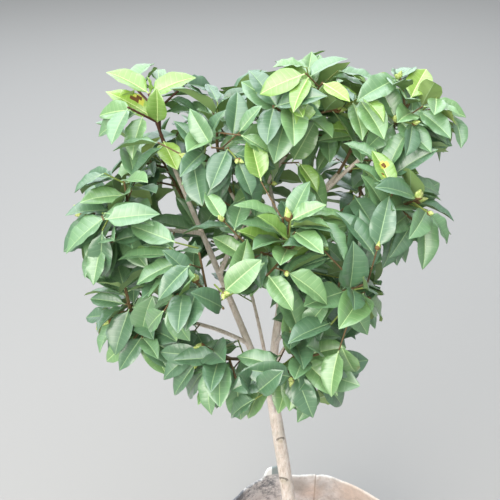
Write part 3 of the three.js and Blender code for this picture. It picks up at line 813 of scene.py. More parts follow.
def bark_material(settings, knots=()):
    """Smooth camellia bark: thin, dull and pale tan, with greyish films, fine pores and cork lines a
    millimetre or two apart, dark where old side shoots were cut, and browner where it is young."""
    material, add = new_material("smooth_camellia_bark", Roughness=0.78, IOR=1.45)
    place = add("TexCoord", {}, output=3)
    z = add("SeparateXYZ", {"Vector": place}, output=2)
    streaks, pores, films = (
        add("TexNoise", {"Vector": add("Mapping", {"Vector": place, "Scale": stretch}),
                         "Scale": 1 / size, "Detail": detail, "Roughness": rough})
        for stretch, size, detail, rough in BARK_GRAINS)
    bark = add("ValToRGB", {"Fac": streaks}, stops=(
        (0.28, tuple(settings.bark_shade)), (0.5, tuple(settings.bark_colour)), (0.72, linear("#F4EBE4"))))
    bark = layer(add, bark, films, 0.46, 0.64, 0.5, "#BEB9AB")
    bark = layer(add, bark, pores, 0.62, 0.74, 0.5, "#6E5A45")
    # Each point's age is its stem's radius there
    age = add("Attribute", {}, output=2, attribute_name="age")
    young = add("MapRange", {"Value": age, "From Min": 0.0027, "From Max": 0.0014, "To Max": 0.85})
    shoot = add("ValToRGB", {"Fac": films}, stops=((0.35, linear("#5B4632")), (0.65, linear("#8A7350"))))
    bark = add("MixRGB", {"Fac": young, "Color1": bark, "Color2": shoot})
    # A cut has a dark arched scar over a browner heel
    for centre, size in knots:
        away = add("VectorMath", {0: place, 1: tuple(centre)}, output=1, operation="DISTANCE")
        scar = add("Math", {0: away, 1: size, 2: size * 0.28}, operation="COMPARE")
        above = add("MapRange", {"Value": z, "From Min": centre[2] - size * 0.3,
                                 "From Max": centre[2] + size * 0.3, "To Max": 0.8})
        scar = add("Math", {0: scar, 1: above}, operation="MULTIPLY")
        bark = add("MixRGB", {"Fac": scar, "Color1": bark, "Color2": linear("#6B6258")})
        bark = layer(add, bark, away, size, size * 0.3, 0.4, "#A8976E")
    wire(material, bark, add("Math", {0: streaks, 1: pores}, operation="ADD"), 0.0005)
    return material


def plain_material(name, shade, **values):
    """One base colour and a finish, for a piece whose colours are dealt out face by face."""
    return new_material(name, Base_Color=shade, **values)[0]


# The felt grow bag

BAG_COLUMNS, WALL_ROWS, LINING_ROWS = 320, 76, 56
# The felt's folds, sags and lumps: how deep they are, and how far apart
FOLDS, SAGS, LUMPS = (0.0008, 0.034), (0.0022, 0.042), (0.0004, 0.012)
# How much deeper the folds are in the free felt above the soil, how far the felt steps in at its
# seam, and how far the corners of its side view are rounded
FREE_FOLDS, SEAM_STEP, BEND = 0.0028, 0.0025, 0.006
# How ragged the rim's cut is: height and size
RIM_CUT = ((0.0012, 0.02), (0.0005, 0.004))
# The rim's rounded edge: height above the cut's line and distance in from the outer side
RIM_ROUNDING = (
    (-0.0006, 0.0005), (0, 0.0014), (0.0002, BAG_WALL / 2), (0, BAG_WALL - 0.0014),
    (-0.0006, BAG_WALL - 0.0005),
)
# How far below that line the walls end, and how high the inner wall's foot is
RIM_ROUND, LINING_FOOT = 0.0018, 0.012


def swell(waves, angle):
    """The height at an angle of waves that run round the bag."""
    return sum(size * np.sin(count * angle + turn) for size, count, turn in waves)


def flap_share(angle):
    """The flap's height round the rim, from 0 to 1, steep where its fold ends."""
    return smooth(angle, *RIM_FLAP["rise"]) * (1 - smooth(angle, *RIM_FLAP["fall"]))


def bag_radius(angle, z):
    """The bag's outer radius, with the folds and sags of slack felt and its lapped side seam."""
    shares, heights = zip(*BAG_PROFILE)
    share = sum(np.interp(z + shift, heights, shares) for shift in (-BEND, 0.0, BEND)) / 3
    around = polar(angle, BAG_RADIUS, z)
    folds = noise(around * (1, 1, 0.3), FOLDS[1])
    sags = noise(around * (0.35, 0.35, 1), SAGS[1])
    free = smooth(z, SOIL_LEVEL - 0.02, BAG_HEIGHT)
    drape = folds * (FOLDS[0] + FREE_FOLDS * free) + sags * SAGS[0] * (1 - free)
    drape += noise(around, LUMPS[1]) * LUMPS[0]
    lap = smooth(angle, SEAM_ANGLE - SEAM_LAP, SEAM_ANGLE) * (angle < SEAM_ANGLE)
    bulge = smooth(z, BAG_SLACK_FROM, BAG_HEIGHT) * swell(WALL_WAVES, angle)
    return BAG_RADIUS * share + bulge + smooth(z, 0.004, 0.03) * (drape - SEAM_STEP * lap)


def bag_ring(angle, z, inset=0.0, share=1.0):
    """A ring of points on the bag's wall. Near the rim it sags and rises, and the flap leans out."""
    z = np.broadcast_to(np.asarray(z, float), angle.shape)
    radius = (bag_radius(angle, z) - inset) * share
    radius = radius + RIM_FLAP["lean"] * flap_share(angle) * smooth(z, BAG_HEIGHT - 0.02, BAG_HEIGHT)
    sag = smooth(z, BAG_HEIGHT - RIM_DEPTH, BAG_HEIGHT) * swell(RIM_WAVES, angle)
    rise = smooth(z, BAG_HEIGHT - 0.03, BAG_HEIGHT) * RIM_FLAP["height"] * flap_share(angle)
    return polar(angle, radius, z + (sag + rise))


def bag_skin():
    """The bag as one closed shell: underside, outer wall, rim, inner wall and floor."""
    angle = np.linspace(0, math.tau, BAG_COLUMNS, endpoint=False)
    edge = polar(angle, BAG_RADIUS, 0.0)
    rim = BAG_HEIGHT + sum(height * noise(edge, size) for height, size in RIM_CUT)
    rings = [bag_ring(angle, 0, share=share) for share in (0.3, 0.6, 0.85)]
    rings += [bag_ring(angle, share * (rim - RIM_ROUND)) for share in np.linspace(0, 1, WALL_ROWS)]
    rings += [bag_ring(angle, rim + rise, inset) for rise, inset in RIM_ROUNDING]
    rings += [bag_ring(angle, mix(LINING_FOOT, rim - RIM_ROUND, share), BAG_WALL)
              for share in np.linspace(1, 0, LINING_ROWS)]
    rings.append(bag_ring(angle, BAG_FLOOR + 0.002, BAG_WALL + 0.0035))
    for share in (0.97, 0.6, 0.3):
        rings.append(bag_ring(angle, LINING_FOOT, BAG_WALL + 0.005, share))
        rings[-1][:, 2] = BAG_FLOOR
    skin = Skin()
    skin.add(*closed((0.0, 0.0, 0.0), rings, (0.0, 0.0, BAG_FLOOR)))
    return skin


# The soil

SOIL_COLUMNS, SOIL_RINGS = 240, 84
# Grains of three kinds by height and size, and a low heap in the middle
SOIL_GRAINS, SOIL_HEAP = ((0.0022, 0.016), (0.0014, 0.006), (0.0006, 0.0025)), (0.003, 0.045)
# How far it stays clear of the felt, and how much more at its foot
SOIL_CLEAR, FOOT_CLEAR = 0.0012, 0.006
CRUMB_SIZES = (0.0012, 0.0055)


def soil_height(angle, radius):
    """The height of the soil's surface: a low heap in its middle, clods and a dip towards the felt,
    and grains all over."""
    lumps = swell([(size, count, radius * curl) for size, count, curl in CLODS], angle)
    away = smooth(radius, SOIL_FLAT, BAG_RADIUS - BAG_WALL / 2)
    around = polar(angle, radius, 0.0)
    rough = sum(depth * noise(around, size) for depth, size in SOIL_GRAINS)
    return SOIL_LEVEL + away * (lumps - SOIL_DIP) + rough + SOIL_HEAP[0] * bump(radius, 0, SOIL_HEAP[1])


def soil_skin(settings):
    """The soil as one closed form that fills the bag, and the loose crumbs on it."""
    angle = np.linspace(0, math.tau, SOIL_COLUMNS, endpoint=False)
    rings = []
    for z in (BAG_FLOOR + 0.001, 0.02, 0.06, 0.11, 0.16, 0.2):
        inner = bag_radius(angle, np.full(SOIL_COLUMNS, max(z, LINING_FOOT))) - BAG_WALL
        rings.append(polar(angle, inner - SOIL_CLEAR - FOOT_CLEAR * (z < 0.01), z))
    edge = bag_radius(angle, np.full(SOIL_COLUMNS, SOIL_LEVEL - 0.004)) - BAG_WALL - GAP
    for share in np.linspace(1, 0.01, SOIL_RINGS):
        rings.append(polar(angle, edge * share, soil_height(angle, edge * share)))
    skin = Skin()
    skin.add(*closed((0.0, 0.0, BAG_FLOOR + 0.001), rings, (0.0, 0.0, SOIL_LEVEL + SOIL_HEAP[0])))
    random = Draws(settings.seed)
    for _ in range(settings.crumbs):
        add_crumb(skin, random)
    return skin


def add_crumb(skin, random):
    """An uneven clod of soil on the surface."""
    radius = (BAG_RADIUS - 0.014) * math.sqrt(random.between(0.02, 1))
    angle = random.between(0, math.tau)
    size = mix(*CRUMB_SIZES, random.between(0, 1) ** 3)
    tilt = np.linspace(0, math.pi, 6)[1:-1, None]
    rings = polar(np.linspace(0, math.tau, 8, endpoint=False), np.sin(tilt), -np.cos(tilt))
    ball, faces = closed((0.0, 0.0, -1.0), rings, (0.0, 0.0, 1.0))
    angle, radius = np.array(angle), np.array(radius)
    place = polar(angle, radius, soil_height(angle, radius) + size * 0.3)
    uneven = 1 + 0.35 * noise(ball + random.between(0, 30), 0.7)
    squash = (1, random.between(0.7, 1), random.between(0.5, 0.8))
    skin.add(place + ball * uneven[:, None] * size * squash, faces)


# Wood

# Old cuts on the trunk: height, direction round it and size
KNOTS = ((0.592, -1.3, 0.0058), (0.507, -1.95, 0.0066), (0.4, 0.9, 0.005), (0.33, 2.6, 0.0045))
KNOT_HEIGHT = 0.0008
# The bark's relief: strength, stretch and size of its fine grain, its flutes and its cork lines
BARK_RELIEF = ((0.3, (1, 1, 0.3), 0.0022), (1, (1, 1, 0.5), 0.014), (0.25, (0.12, 0.12, 1), 0.0022))


def knot_places(trunk):
    """The middle of each knot on the trunk's skin, and its size."""
    heights = np.linspace(0, 1, 400)
    places = []
    for height, turn, size in KNOTS:
        share = heights[np.abs(trunk.point(heights)[:, 2] - height).argmin()]
        outward = np.array((math.cos(turn), math.sin(turn), 0))
        places.append((trunk.point(share) + outward * trunk.radius(share), size))
    return places


def bark_relief(depth, knots, points):
    """How far smooth bark stands out at points: shallow flutes, fine cork lines and puckered knots."""
    height = depth * sum(share * noise(points * stretch, size) for share, stretch, size in BARK_RELIEF)
    for place, size in knots:
        away = np.linalg.norm((points - place) * (1, 1, 0.8), axis=-1)
        height = height + KNOT_HEIGHT * bump(away, 0, size * 1.2)
    return height


def add_stem(skin, stem, sides, spacing, depth, collar=0.0, knots=()):
    """Adds a stem with the bark's relief, and each point's age, which is the stem's radius there."""
    relief = functools.partial(bark_relief, depth, knots)
    points, faces, radii = tube(stem, sides, spacing, relief=relief, collar=collar)
    skin.add(points, faces, age=np.concatenate((radii[:1], np.repeat(radii, sides), radii[-1:])))


# Leaves

# A leaf's rows along its midrib: the stalk, six pairs of side veins and the tip
VEIN_STEP, VEIN_HALF, STALK_END = 0.12, 0.006, 0.085
SIDE_VEINS = [0.15 + VEIN_STEP * k for k in range(6)]
ROWS = [0, 0.045, STALK_END]
for vein in SIDE_VEINS:
    ROWS += [vein - VEIN_HALF, vein + VEIN_HALF, vein + VEIN_STEP / 2]
ROWS += [0.87, 0.92, 0.965, 1]
# Its columns from the midrib to the edge. The second is the midrib's own edge, wherever that lies.
COLUMNS = (0, 1, 0.3, 0.6, 0.85, 1)
EDGE = len(COLUMNS) - 1
# The columns of its top and of its underside, which has fewer
TOP, BENEATH = (1, range(-EDGE, EDGE + 1)), (-1, (-5, -3, -1, 0, 1, 3, 5))
# What a face is of: each green has a material for each
BLADE, MIDRIB, SIDE_VEIN, UNDER = range(4)
PARTS = 4

# How far its side veins slant, the powers that round its two ends, and how deep its teeth, its
# quilting and its ridges on top and beneath are
VEIN_SLANT, OVAL, TEETH, QUILT, RIDGES = 0.16, (0.58, 0.74), 0.008, 0.0007, (0.0005, 0.0007)
# The half width of its stalk and of its tip, that of its midrib there, and how thick its stalk and
# its blade are
STALK_HALF, MIDRIB_HALF, THICKNESS = (0.001, 0.0002), (0.0008, 0.0003), (0.0015, 0.0006)
# How far its halves cup, and where along it the curl of its tip starts
CUP, CURL_FROM = 0.35, 0.65
# The limits between which each leaf's looks are drawn
LOOKS = {
    "width": (0.76, 0.94), "widest": (0.38, 0.46), "point": (0.25, 0.5), "fold": (0.9, 2.0),
    "wave": (0.0004, 0.0014), "waves": (14, 22), "phase": (0, math.tau), "twist": (-0.3, 0.3),
    "bend": (-0.05, 0.05), "arch": (0.8, 1.25), "curl": (-0.1, 0.5),
}


def leaf_corner(row, column, layer):
    """A point's row, column and side. Top and underside meet at the edge, and all at both ends."""
    if row in (0, len(ROWS) - 1):
        return row, 0, 0
    return row, column, layer * (abs(column) < EDGE)


@functools.cache
def leaf_pattern():
    """The leaf's points as (row share, column, top or underside) and its faces with their parts."""
    index, faces, parts = {}, [], []
    for layer, columns in (TOP, BENEATH):
        for row in range(len(ROWS) - 1):
            in_vein = any(abs(ROWS[row] + VEIN_HALF - vein) < 1e-6 for vein in SIDE_VEINS)
            for low, high in zip(columns, columns[1:]):
                corners = [index.setdefault(leaf_corner(*corner, layer), len(index))
                           for corner in ((row, low), (row, high), (row + 1, high), (row + 1, low))]
                face = list(dict.fromkeys(corners[::layer]))
                if len(face) < 3:
                    continue
                faces.append(face)
                if ROWS[row] < STALK_END or max(abs(low), abs(high)) <= 1:
                    parts.append(MIDRIB)
                elif layer < 0:
                    parts.append(UNDER)
                else:
                    parts.append(SIDE_VEIN if in_vein and max(abs(low), abs(high)) < EDGE else BLADE)
    return np.array([(ROWS[row], column, layer) for row, column, layer in index]), faces, np.array(parts)


def leaf_points(leaf, look):
    """Places a leaf's points: an oval blade, folded along its midrib, arching and wavy-edged."""
    base, column, layer = leaf_pattern()[0].T
    length, width = leaf.length, LEAF_WIDTH * leaf.length * look["width"]
    place, side = np.abs(column).astype(int), np.sign(column)
    share = np.array(COLUMNS)[place]
    on_midrib = place == 1
    slant = VEIN_SLANT * smooth(base, STALK_END, 0.2) * (1 - base)
    along = base + slant * np.where(on_midrib, 0.05, share)
    # The outline, with its drawn-out tip and fine teeth
    blade = np.clip((along - STALK_END) / (1 - STALK_END), 0, 1)
    widest = look["widest"]
    low = np.clip((widest - blade) / widest, 0, 1)
    high = np.clip((blade - widest) / (1 - widest), 0, 1)
    drawn_out = 1 - look["point"] * smooth(high, 0.65, 1.0)
    spread = np.where(blade < widest, (1 - low ** 2) ** OVAL[0], (1 - high ** 2) ** OVAL[1] * drawn_out)
    half = np.maximum(width / 2 * spread, mix(*STALK_HALF, smooth(along, 0.1, 0.95)))
    midrib = np.minimum(mix(*MIDRIB_HALF, along), 0.22 * half)
    teeth = 1 + TEETH * np.where(np.arange(len(base)) % 2, 1, -1) * (place == EDGE)
    offset = side * np.where(on_midrib, midrib, share * half * teeth)
    # The fold, the wavy edge, the quilting between the side veins, the thickness and the ridges
    part = np.abs(offset) / half
    fullness = half / (width / 2)
    rise = LEAF_FOLD * look["fold"] * width * part * (1 + CUP - CUP * part ** 2) * fullness
    rise += look["wave"] * part ** 3 * np.sin(along * look["waves"] + look["phase"] + side) * fullness
    between = np.abs(((base - SIDE_VEINS[0] + VEIN_HALF) % VEIN_STEP) / VEIN_STEP - 0.5) < 0.3
    rise += QUILT * between * np.sin(np.pi * part) * fullness * (layer > 0)
    thick = mix(*THICKNESS, smooth(along, 0.05, 0.16)) * np.sqrt(np.clip(1 - part ** 2, 0, 1))
    ridge = (place < 2) * smooth(along, 0.08, 0.2) * (1 - along)
    rise += layer * thick / 2
    rise -= np.where(layer > 0, *RIDGES) * ridge
    # The twist, bend, arch and curl of the whole leaf
    turn = look["twist"] * along
    shift = offset * np.cos(turn) - rise * np.sin(turn) + look["bend"] * length * along ** 2
    lift = offset * np.sin(turn) + rise * np.cos(turn) - (base == 0) * LEAF_SINK
    lift -= LEAF_ARCH * look["arch"] * length * along ** 2
    lift -= look["curl"] * length * np.clip(along - CURL_FROM, 0, 1) ** 2
    return (leaf.root + np.outer(along * length, leaf.ahead) + np.outer(shift, leaf.across)
            + np.outer(lift, leaf.normal))


# The greens, from the oldest leaves' to the newest ones': the colours of midrib and underside
GREENS = {
    "deep": ("#93B184", "#7F9A68"), "mature": ("#A5C390", "#8DA96C"), "fresh": ("#B8D298", "#9EB974"),
    "lime": ("#CBE09A", "#B0C878"), "young": ("#DAE8A2", "#C0D67C"),
}
# Which of the greens each spray of a mass is dealt in turn, by the mass's tint
DEALT = {
    "mature": (1, 0, 1, 2, 0, 1, 1, 0, 2, 1, 0),
    "fresh": (2, 1, 2, 2, 1, 1, 2, 3, 1, 2, 1),
    "young": (2, 4, 1, 2, 1, 2, 1, 2, 1, 2, 1),
}
# The share of leaves that are a green older than that, and how far a side vein's colour is from the
# blade's to the midrib's
OLDER_SHARE, VEIN_TINT = 0.3, 0.26
WAX = {"Roughness": 0.42, "IOR": 1.47, "Coat_Weight": 1.0, "Coat_Roughness": 0.3, "Coat_IOR": 1.65}


def leaf_materials(settings):
    """Camellia leaves: leathery, with a waxy skin that shines broadly on top and is matt beneath,
    a paler midrib and faint side veins. Young leaves are softer, lighter and yellower. Where a leaf
    spot has dried it is brown, in a yellow ring."""
    materials = []
    for green, (vein, under) in GREENS.items():
        blade = tuple(getattr(settings, green))
        side_vein = tuple(mix(np.array(blade), np.array(linear(vein)), VEIN_TINT))
        materials += [
            plain_material(f"waxy_camellia_leaf_{green}", blade, **WAX),
            plain_material(f"leaf_midrib_{green}", linear(vein), Roughness=0.4, IOR=1.45),
            plain_material(f"leaf_side_vein_{green}", side_vein, **WAX),
            plain_material(f"matt_leaf_underside_{green}", linear(under), Roughness=0.65, IOR=1.4),
        ]
    return materials + [
        plain_material("dry_brown_leaf_spot", linear("#6B4A28"), Roughness=0.85, IOR=1.4),
        plain_material("yellowed_leaf_ring", linear("#CCD056"), Roughness=0.5, IOR=1.45),
    ]


BROWN_SPOT, YELLOW_RING = PARTS * len(GREENS), PARTS * len(GREENS) + 1
# How far a spot's yellow ring reaches, as a share of the spot's own size
RING_SHARE = 1.6
# Leaves that stand out in the photo: the mass, the point near which each lies, its green, and its
# brown spots by share of length, share of half width and size
MARKED_LEAVES = (
    ("left_top", (-0.243, 0.085, 1.12), "young",
     ((0.4, 0.4, 0.0035), (0.47, 0.5, 0.004), (0.54, 0.42, 0.003))),
    ("right_mid", (0.0548, -0.0368, 1.099), "lime", ((0.6, 0.1, 0.0031), (0.4, -0.35, 0.0018))),
    ("right_tip", (0.1048, 0.08, 1.1531), "young", ()),
)


def spotted(points, leaf, faces, finishes, spots):
    """Turns the faces within a spot brown and those just round it yellow."""
    centres = np.array([points[face].mean(axis=0) for face in faces]) - leaf.root
    along, offset = centres @ leaf.ahead, centres @ leaf.across
    width = LEAF_WIDTH * leaf.length / 2
    for share, side, size in spots:
        away = np.hypot(along - share * leaf.length, offset - side * width)
        finishes = np.where(away < size * RING_SHARE, YELLOW_RING, finishes)
        finishes = np.where(away < size, BROWN_SPOT, finishes)
    return finishes


def add_leaves(skin, index, settings):
    """Adds every leaf of a mass to a skin."""
    branch, sprays = BRANCHES[index], grown_plant().masses[index]
    random = Draws(settings.seed + index)
    _, faces, parts = leaf_pattern()
    leaves = [leaf for spray in sprays for leaf in spray.leaves]
    marked = {id(min(leaves, key=lambda leaf: np.linalg.norm(leaf.middle - place))): (green, spots)
              for name, place, green, spots in MARKED_LEAVES if name == branch.name}
    for number, spray in enumerate(sprays):
        dealt = DEALT[branch.tint][(number + index) % len(DEALT[branch.tint])]
        for leaf in spray.leaves:
            older = random.between(0, 1) < OLDER_SHARE and dealt > 0
            points = leaf_points(leaf, {look: random.between(*limits) for look, limits in LOOKS.items()})
            newest = leaf.order == 0 and branch.tint != "mature"
            tone, spots = min(dealt + newest - older, len(GREENS) - 1), ()
            if id(leaf) in marked:
                green, spots = marked[id(leaf)]
                tone = list(GREENS).index(green)
            finishes = parts + PARTS * tone
            if spots:
                finishes = spotted(points, leaf, faces, finishes, spots)
            skin.add(points, faces, finishes.tolist())


# Buds

# A bud's scales: how many, the share of its length at which the first starts and the next ones
# follow, how long each is, how far it wraps round, and how far each stands out over the next
BUD_SCALES = {"count": 7, "first": 0.02, "step": 0.085, "length": 0.46, "wrap": 1.5, "lap": 0.03}
SCALE, SCALE_EDGE, SCALE_DRY = range(3)
CORE_ROWS, CORE_COLUMNS, SCALE_ROWS, DRY_SCALES = 10, 12, 7, 2
# One spray in five bears a bud or two, but none whose last leaf is shorter than this
BUD_EVERY, YOUNG_TIP = 5, 0.03
# How far a bud leans from its stem, how far it turns from the next one and how deep it is seated
BUD_LEAN, BUD_TURN, BUD_SINK = 0.45, 0.37, 0.001
BUD_SIZE, FINE_BUD_SIZE = 1.2, 0.75


def bud_body(share):
    """The half width of a bud along its length, as a share of its widest."""
    return np.sin(np.pi * np.clip(share, 0, 1) ** 0.75) ** 0.8 * (1.12 - 0.3 * share)


def add_bud(skin, tip, heading, length, radius, turn):
    """A plump pointed bud wrapped in overlapping scales, dry at its base and pale at their edges."""
    side = unit(np.cross(heading, (0.3, 0.9, 0.1)))
    axes = np.array((side * radius, np.cross(heading, side) * radius, heading * length))
    share = np.linspace(0.04, 0.94, CORE_ROWS)[:, None]
    angle = np.linspace(0, math.tau, CORE_COLUMNS, endpoint=False)
    core, faces = closed((0.0, 0.0, 0.0), polar(angle, bud_body(share) * 0.9, share), (0.0, 0.0, 0.97))
    skin.add(tip + core @ axes, faces, SCALE)
    across = np.linspace(-1, 1, SCALE_ROWS)
    around = np.concatenate((across, across[-2:0:-1]))
    inner = np.arange(len(around)) >= len(across)
    step = np.linspace(0.03, 0.97, SCALE_ROWS)[:, None]
    for number in range(BUD_SCALES["count"]):
        first = BUD_SCALES["first"] + BUD_SCALES["step"] * number
        middle = turn + number * GOLDEN_ANGLE
        share = first + BUD_SCALES["length"] * step * (1 - 0.12 * around ** 2)
        angle = middle + BUD_SCALES["wrap"] * around * np.sqrt(1 - step ** 3)
        proud = BUD_SCALES["lap"] * (BUD_SCALES["count"] - number) / 2
        scale = polar(angle, bud_body(share) * (1 + proud - 0.08 * inner * (1 - 0.5 * step)), share)
        low, high = (polar(middle, bud_body(first + end / 2) * 0.98, first + BUD_SCALES["length"] * end)
                     for end in (0.0, 1.0))
        points, faces = closed(low, scale, high)
        finishes = []
        for face in faces:
            row, column = divmod(max(face[0] - 1, 0), len(around))
            edge = row >= SCALE_ROWS - 2 or abs(around[column]) > 0.6
            finishes.append(SCALE_DRY if number < DRY_SCALES else SCALE_EDGE if edge else SCALE)
        skin.add(tip + points @ axes, faces, finishes)


# Sizes and colours that a user would change

COLOUR = {"subtype": "COLOR", "size": 4, "min": 0, "max": 1}


class BagSettings(bpy.types.PropertyGroup):
    felt_colour: FloatVectorProperty(
        name="Felt", description="Sun-bleached felt", default=linear("#FBF7F2"), **COLOUR)
    felt_shade: FloatVectorProperty(
        name="Felt shade", description="Felt where it is matted and damp", default=linear("#D5CBBF"),
        **COLOUR)


class SoilSettings(bpy.types.PropertyGroup):
    colour: FloatVectorProperty(
        name="Soil", description="Red potting soil", default=linear("#8A523F"), **COLOUR)
    crumbs: IntProperty(name="Crumbs", description="Loose crumbs on the soil", default=420, min=0, max=2000)
    seed: IntProperty(name="Seed", description="First random number of the crumbs", default=271, min=1)


class WoodSettings(bpy.types.PropertyGroup):
    bark_colour: FloatVectorProperty(
        name="Bark", description="Smooth pale bark", default=linear("#E7D9CD"), **COLOUR)
    bark_shade: FloatVectorProperty(
        name="Bark shade", description="Bark in its shallow flutes", default=linear("#C8B5A6"), **COLOUR)
    relief: FloatProperty(
        name="Relief", description="How deep the bark's flutes are", default=0.0005, min=0, max=0.002,
        unit="LENGTH")
    collar: FloatProperty(
        name="Collar", description="How far a bough swells where it leaves its parent",
        default=0.0012, min=0, max=0.004, unit="LENGTH")


class LeafSettings(bpy.types.PropertyGroup):
    deep: FloatVectorProperty(
        name="Deep", description="Oldest leaves", default=linear("#587D5B"), **COLOUR)
    mature: FloatVectorProperty(
        name="Mature", description="Mature leaves", default=linear("#6E9668"), **COLOUR)
    fresh: FloatVectorProperty(
        name="Fresh", description="Leaves of this year", default=linear("#79A268"), **COLOUR)
    lime: FloatVectorProperty(
        name="Lime", description="Leaves that are still soft", default=linear("#80A84E"), **COLOUR)
    young: FloatVectorProperty(
        name="Young", description="Newest leaves", default=linear("#92B948"), **COLOUR)
    seed: IntProperty(
        name="Seed", description="First random number of the leaves' looks", default=5021, min=1)


class BudSettings(bpy.types.PropertyGroup):
    length: FloatProperty(
        name="Length", description="Length of a flower bud", default=0.0165, min=0.005, max=0.03,
        unit="LENGTH")
    radius: FloatProperty(
        name="Radius", description="Half the width of a flower bud", default=0.0038, min=0.001,
        max=0.01, unit="LENGTH")
    colour: FloatVectorProperty(
        name="Bud", description="Bud scales", default=linear("#A9BC66"), **COLOUR)


class StageSettings(bpy.types.PropertyGroup):
    camera_place: FloatVectorProperty(
        name="Camera", description="Where the camera stands", subtype="TRANSLATION", unit="LENGTH",
        default=EYE)
    camera_pitch: FloatProperty(
        name="Pitch", description="How far the camera looks down", subtype="ANGLE", unit="ROTATION",
        default=CAMERA_PITCH)
    lens: FloatProperty(
        name="Lens", description="Focal length in millimetres for a 36 mm wide frame", default=58.9,
        min=20, max=200)
    floor_colour: FloatVectorProperty(
        name="Floor", description="Plain pale floor", default=linear("#A9A7A3"), **COLOUR)


class CamelliaSettings(bpy.types.PropertyGroup):
    bag: PointerProperty(type=BagSettings, name="Bag", description="The grow bag")
    soil: PointerProperty(type=SoilSettings, name="Soil", description="The soil")
    wood: PointerProperty(type=WoodSettings, name="Wood", description="Trunk, boughs and twigs")
    leaf: PointerProperty(type=LeafSettings, name="Leaves", description="The leaves")
    bud: PointerProperty(type=BudSettings, name="Buds", description="The buds")
    stage: PointerProperty(type=StageSettings, name="Stage", description="Floor, light and camera")


# Operators, one for each piece or group of like pieces

# How many sides each stem's mesh has, and how far apart its rings are
TRUNK_MESH, MAIN_MESH, SIDE_MESH, TWIG_MESH = (72, 0.0012), (36, 0.0014), (16, 0.002), (8, 0.0016)


class MakeBag(bpy.types.Operator):
    """Makes the felt grow bag"""
    bl_idname = "camellia.bag"
    bl_label = "Grow bag"

    def execute(self, context):
        material = felt_material(context.scene.camellia.bag)
        bag_skin().piece("felt_grow_bag", [material], "felt", ["grow_bag"])
        return {"FINISHED"}


class MakeSoil(bpy.types.Operator):
    """Makes the crumbly soil in the bag"""
    bl_idname = "camellia.soil"
    bl_label = "Soil"

    def execute(self, context):
        settings = context.scene.camellia.soil
        soil_skin(settings).piece("crumbly_soil", [soil_material(settings)], "soil", ["soil"])
        return {"FINISHED"}


class MakeWood(bpy.types.Operator):
    """Makes the trunk, the two main boughs and the side boughs, with the bark's relief"""
    bl_idname = "camellia.wood"
    bl_label = "Trunk and boughs"

    def execute(self, context):
        settings = context.scene.camellia.wood
        stems = dict(grown_plant().stems)
        trunk = stems.pop("trunk")
        knots = knot_places(trunk)
        bark = bark_material(settings, knots)
        skin = Skin()
        add_stem(skin, trunk, *TRUNK_MESH, settings.relief, knots=knots)
        skin.piece("bark_trunk", [bark], "bark", ["trunk"])
        for name in ("bough_right_top", "bough_left_top"):
            skin = Skin()
            add_stem(skin, stems.pop(name), *MAIN_MESH, settings.relief * 0.6, settings.collar)
            skin.piece(f"bark_{name}", [bark], "bark", [name])
        skin = Skin()
        for stem in stems.values():
            add_stem(skin, stem, *SIDE_MESH, settings.relief * 0.35, settings.collar * 0.7)
        skin.piece("side_boughs", [bark], "twig", list(stems))
        return {"FINISHED"}


class MakeTwigs(bpy.types.Operator):
    """Makes the leaders, side shoots and finer twigs of every mass"""
    bl_idname = "camellia.twigs"
    bl_label = "Twigs"

    def execute(self, context):
        # Young camellia wood: thin smooth bark, brown to maroon, and green at the newest ends
        materials = [plain_material(f"young_camellia_bark_{name}", linear(shade), Roughness=0.6, IOR=1.45)
                     for name, shade in (("brown", "#6F5A3C"), ("maroon", "#5C3B2E"), ("green", "#7C8B45"))]
        skin = Skin()
        for index, sprays in enumerate(grown_plant().masses):
            young = BRANCHES[index].tint == "young"
            for number, spray in enumerate(sprays):
                if not spray.leaves:
                    continue
                nodes = [leaf.share for leaf in spray.leaves]
                points, faces, _ = tube(spray.stem, *TWIG_MESH, end=spray_end(spray), nodes=nodes)
                finish = 1 if young else 2 if spray.fine and number % 3 == 0 else 0
                skin.add(points, faces, finish)
        skin.piece("leafy_twigs", materials, "twig", [f"foliage_{branch.name}" for branch in BRANCHES])
        return {"FINISHED"}


# The joined pieces of leaves: name, slot and masses
LEAF_PIECES = (
    ("leaves_left_top", "leaf_young", ("left_top",)),
    ("leaves_top", "leaf_fresh", ("right_top", "centre_top", "right_tip", "centre")),
    ("leaves_right", "leaf_mature", ("right_mid", "right_low", "side_low")),
    ("leaves_front", "leaf_mature", ("lower_front", "lower_left", "mid_left")),
    ("leaves_left", "leaf_mature", ("inner_left", "left_mid", "left_low")),
    ("leaves_back", "leaf_mature", ("back_left", "back", "back_right", "back_low")),
)


class MakeLeaves(bpy.types.Operator):
    """Makes the leaves of every mass"""
    bl_idname = "camellia.leaves"
    bl_label = "Leaves"

    def execute(self, context):
        settings = context.scene.camellia.leaf
        materials = leaf_materials(settings)
        names = [branch.name for branch in BRANCHES]
        for piece, slot, masses in LEAF_PIECES:
            skin = Skin()
            for name in masses:
                add_leaves(skin, names.index(name), settings)
            skin.piece(piece, materials, slot, [f"foliage_{name}" for name in masses],
                       sharp=math.radians(60))
        return {"FINISHED"}


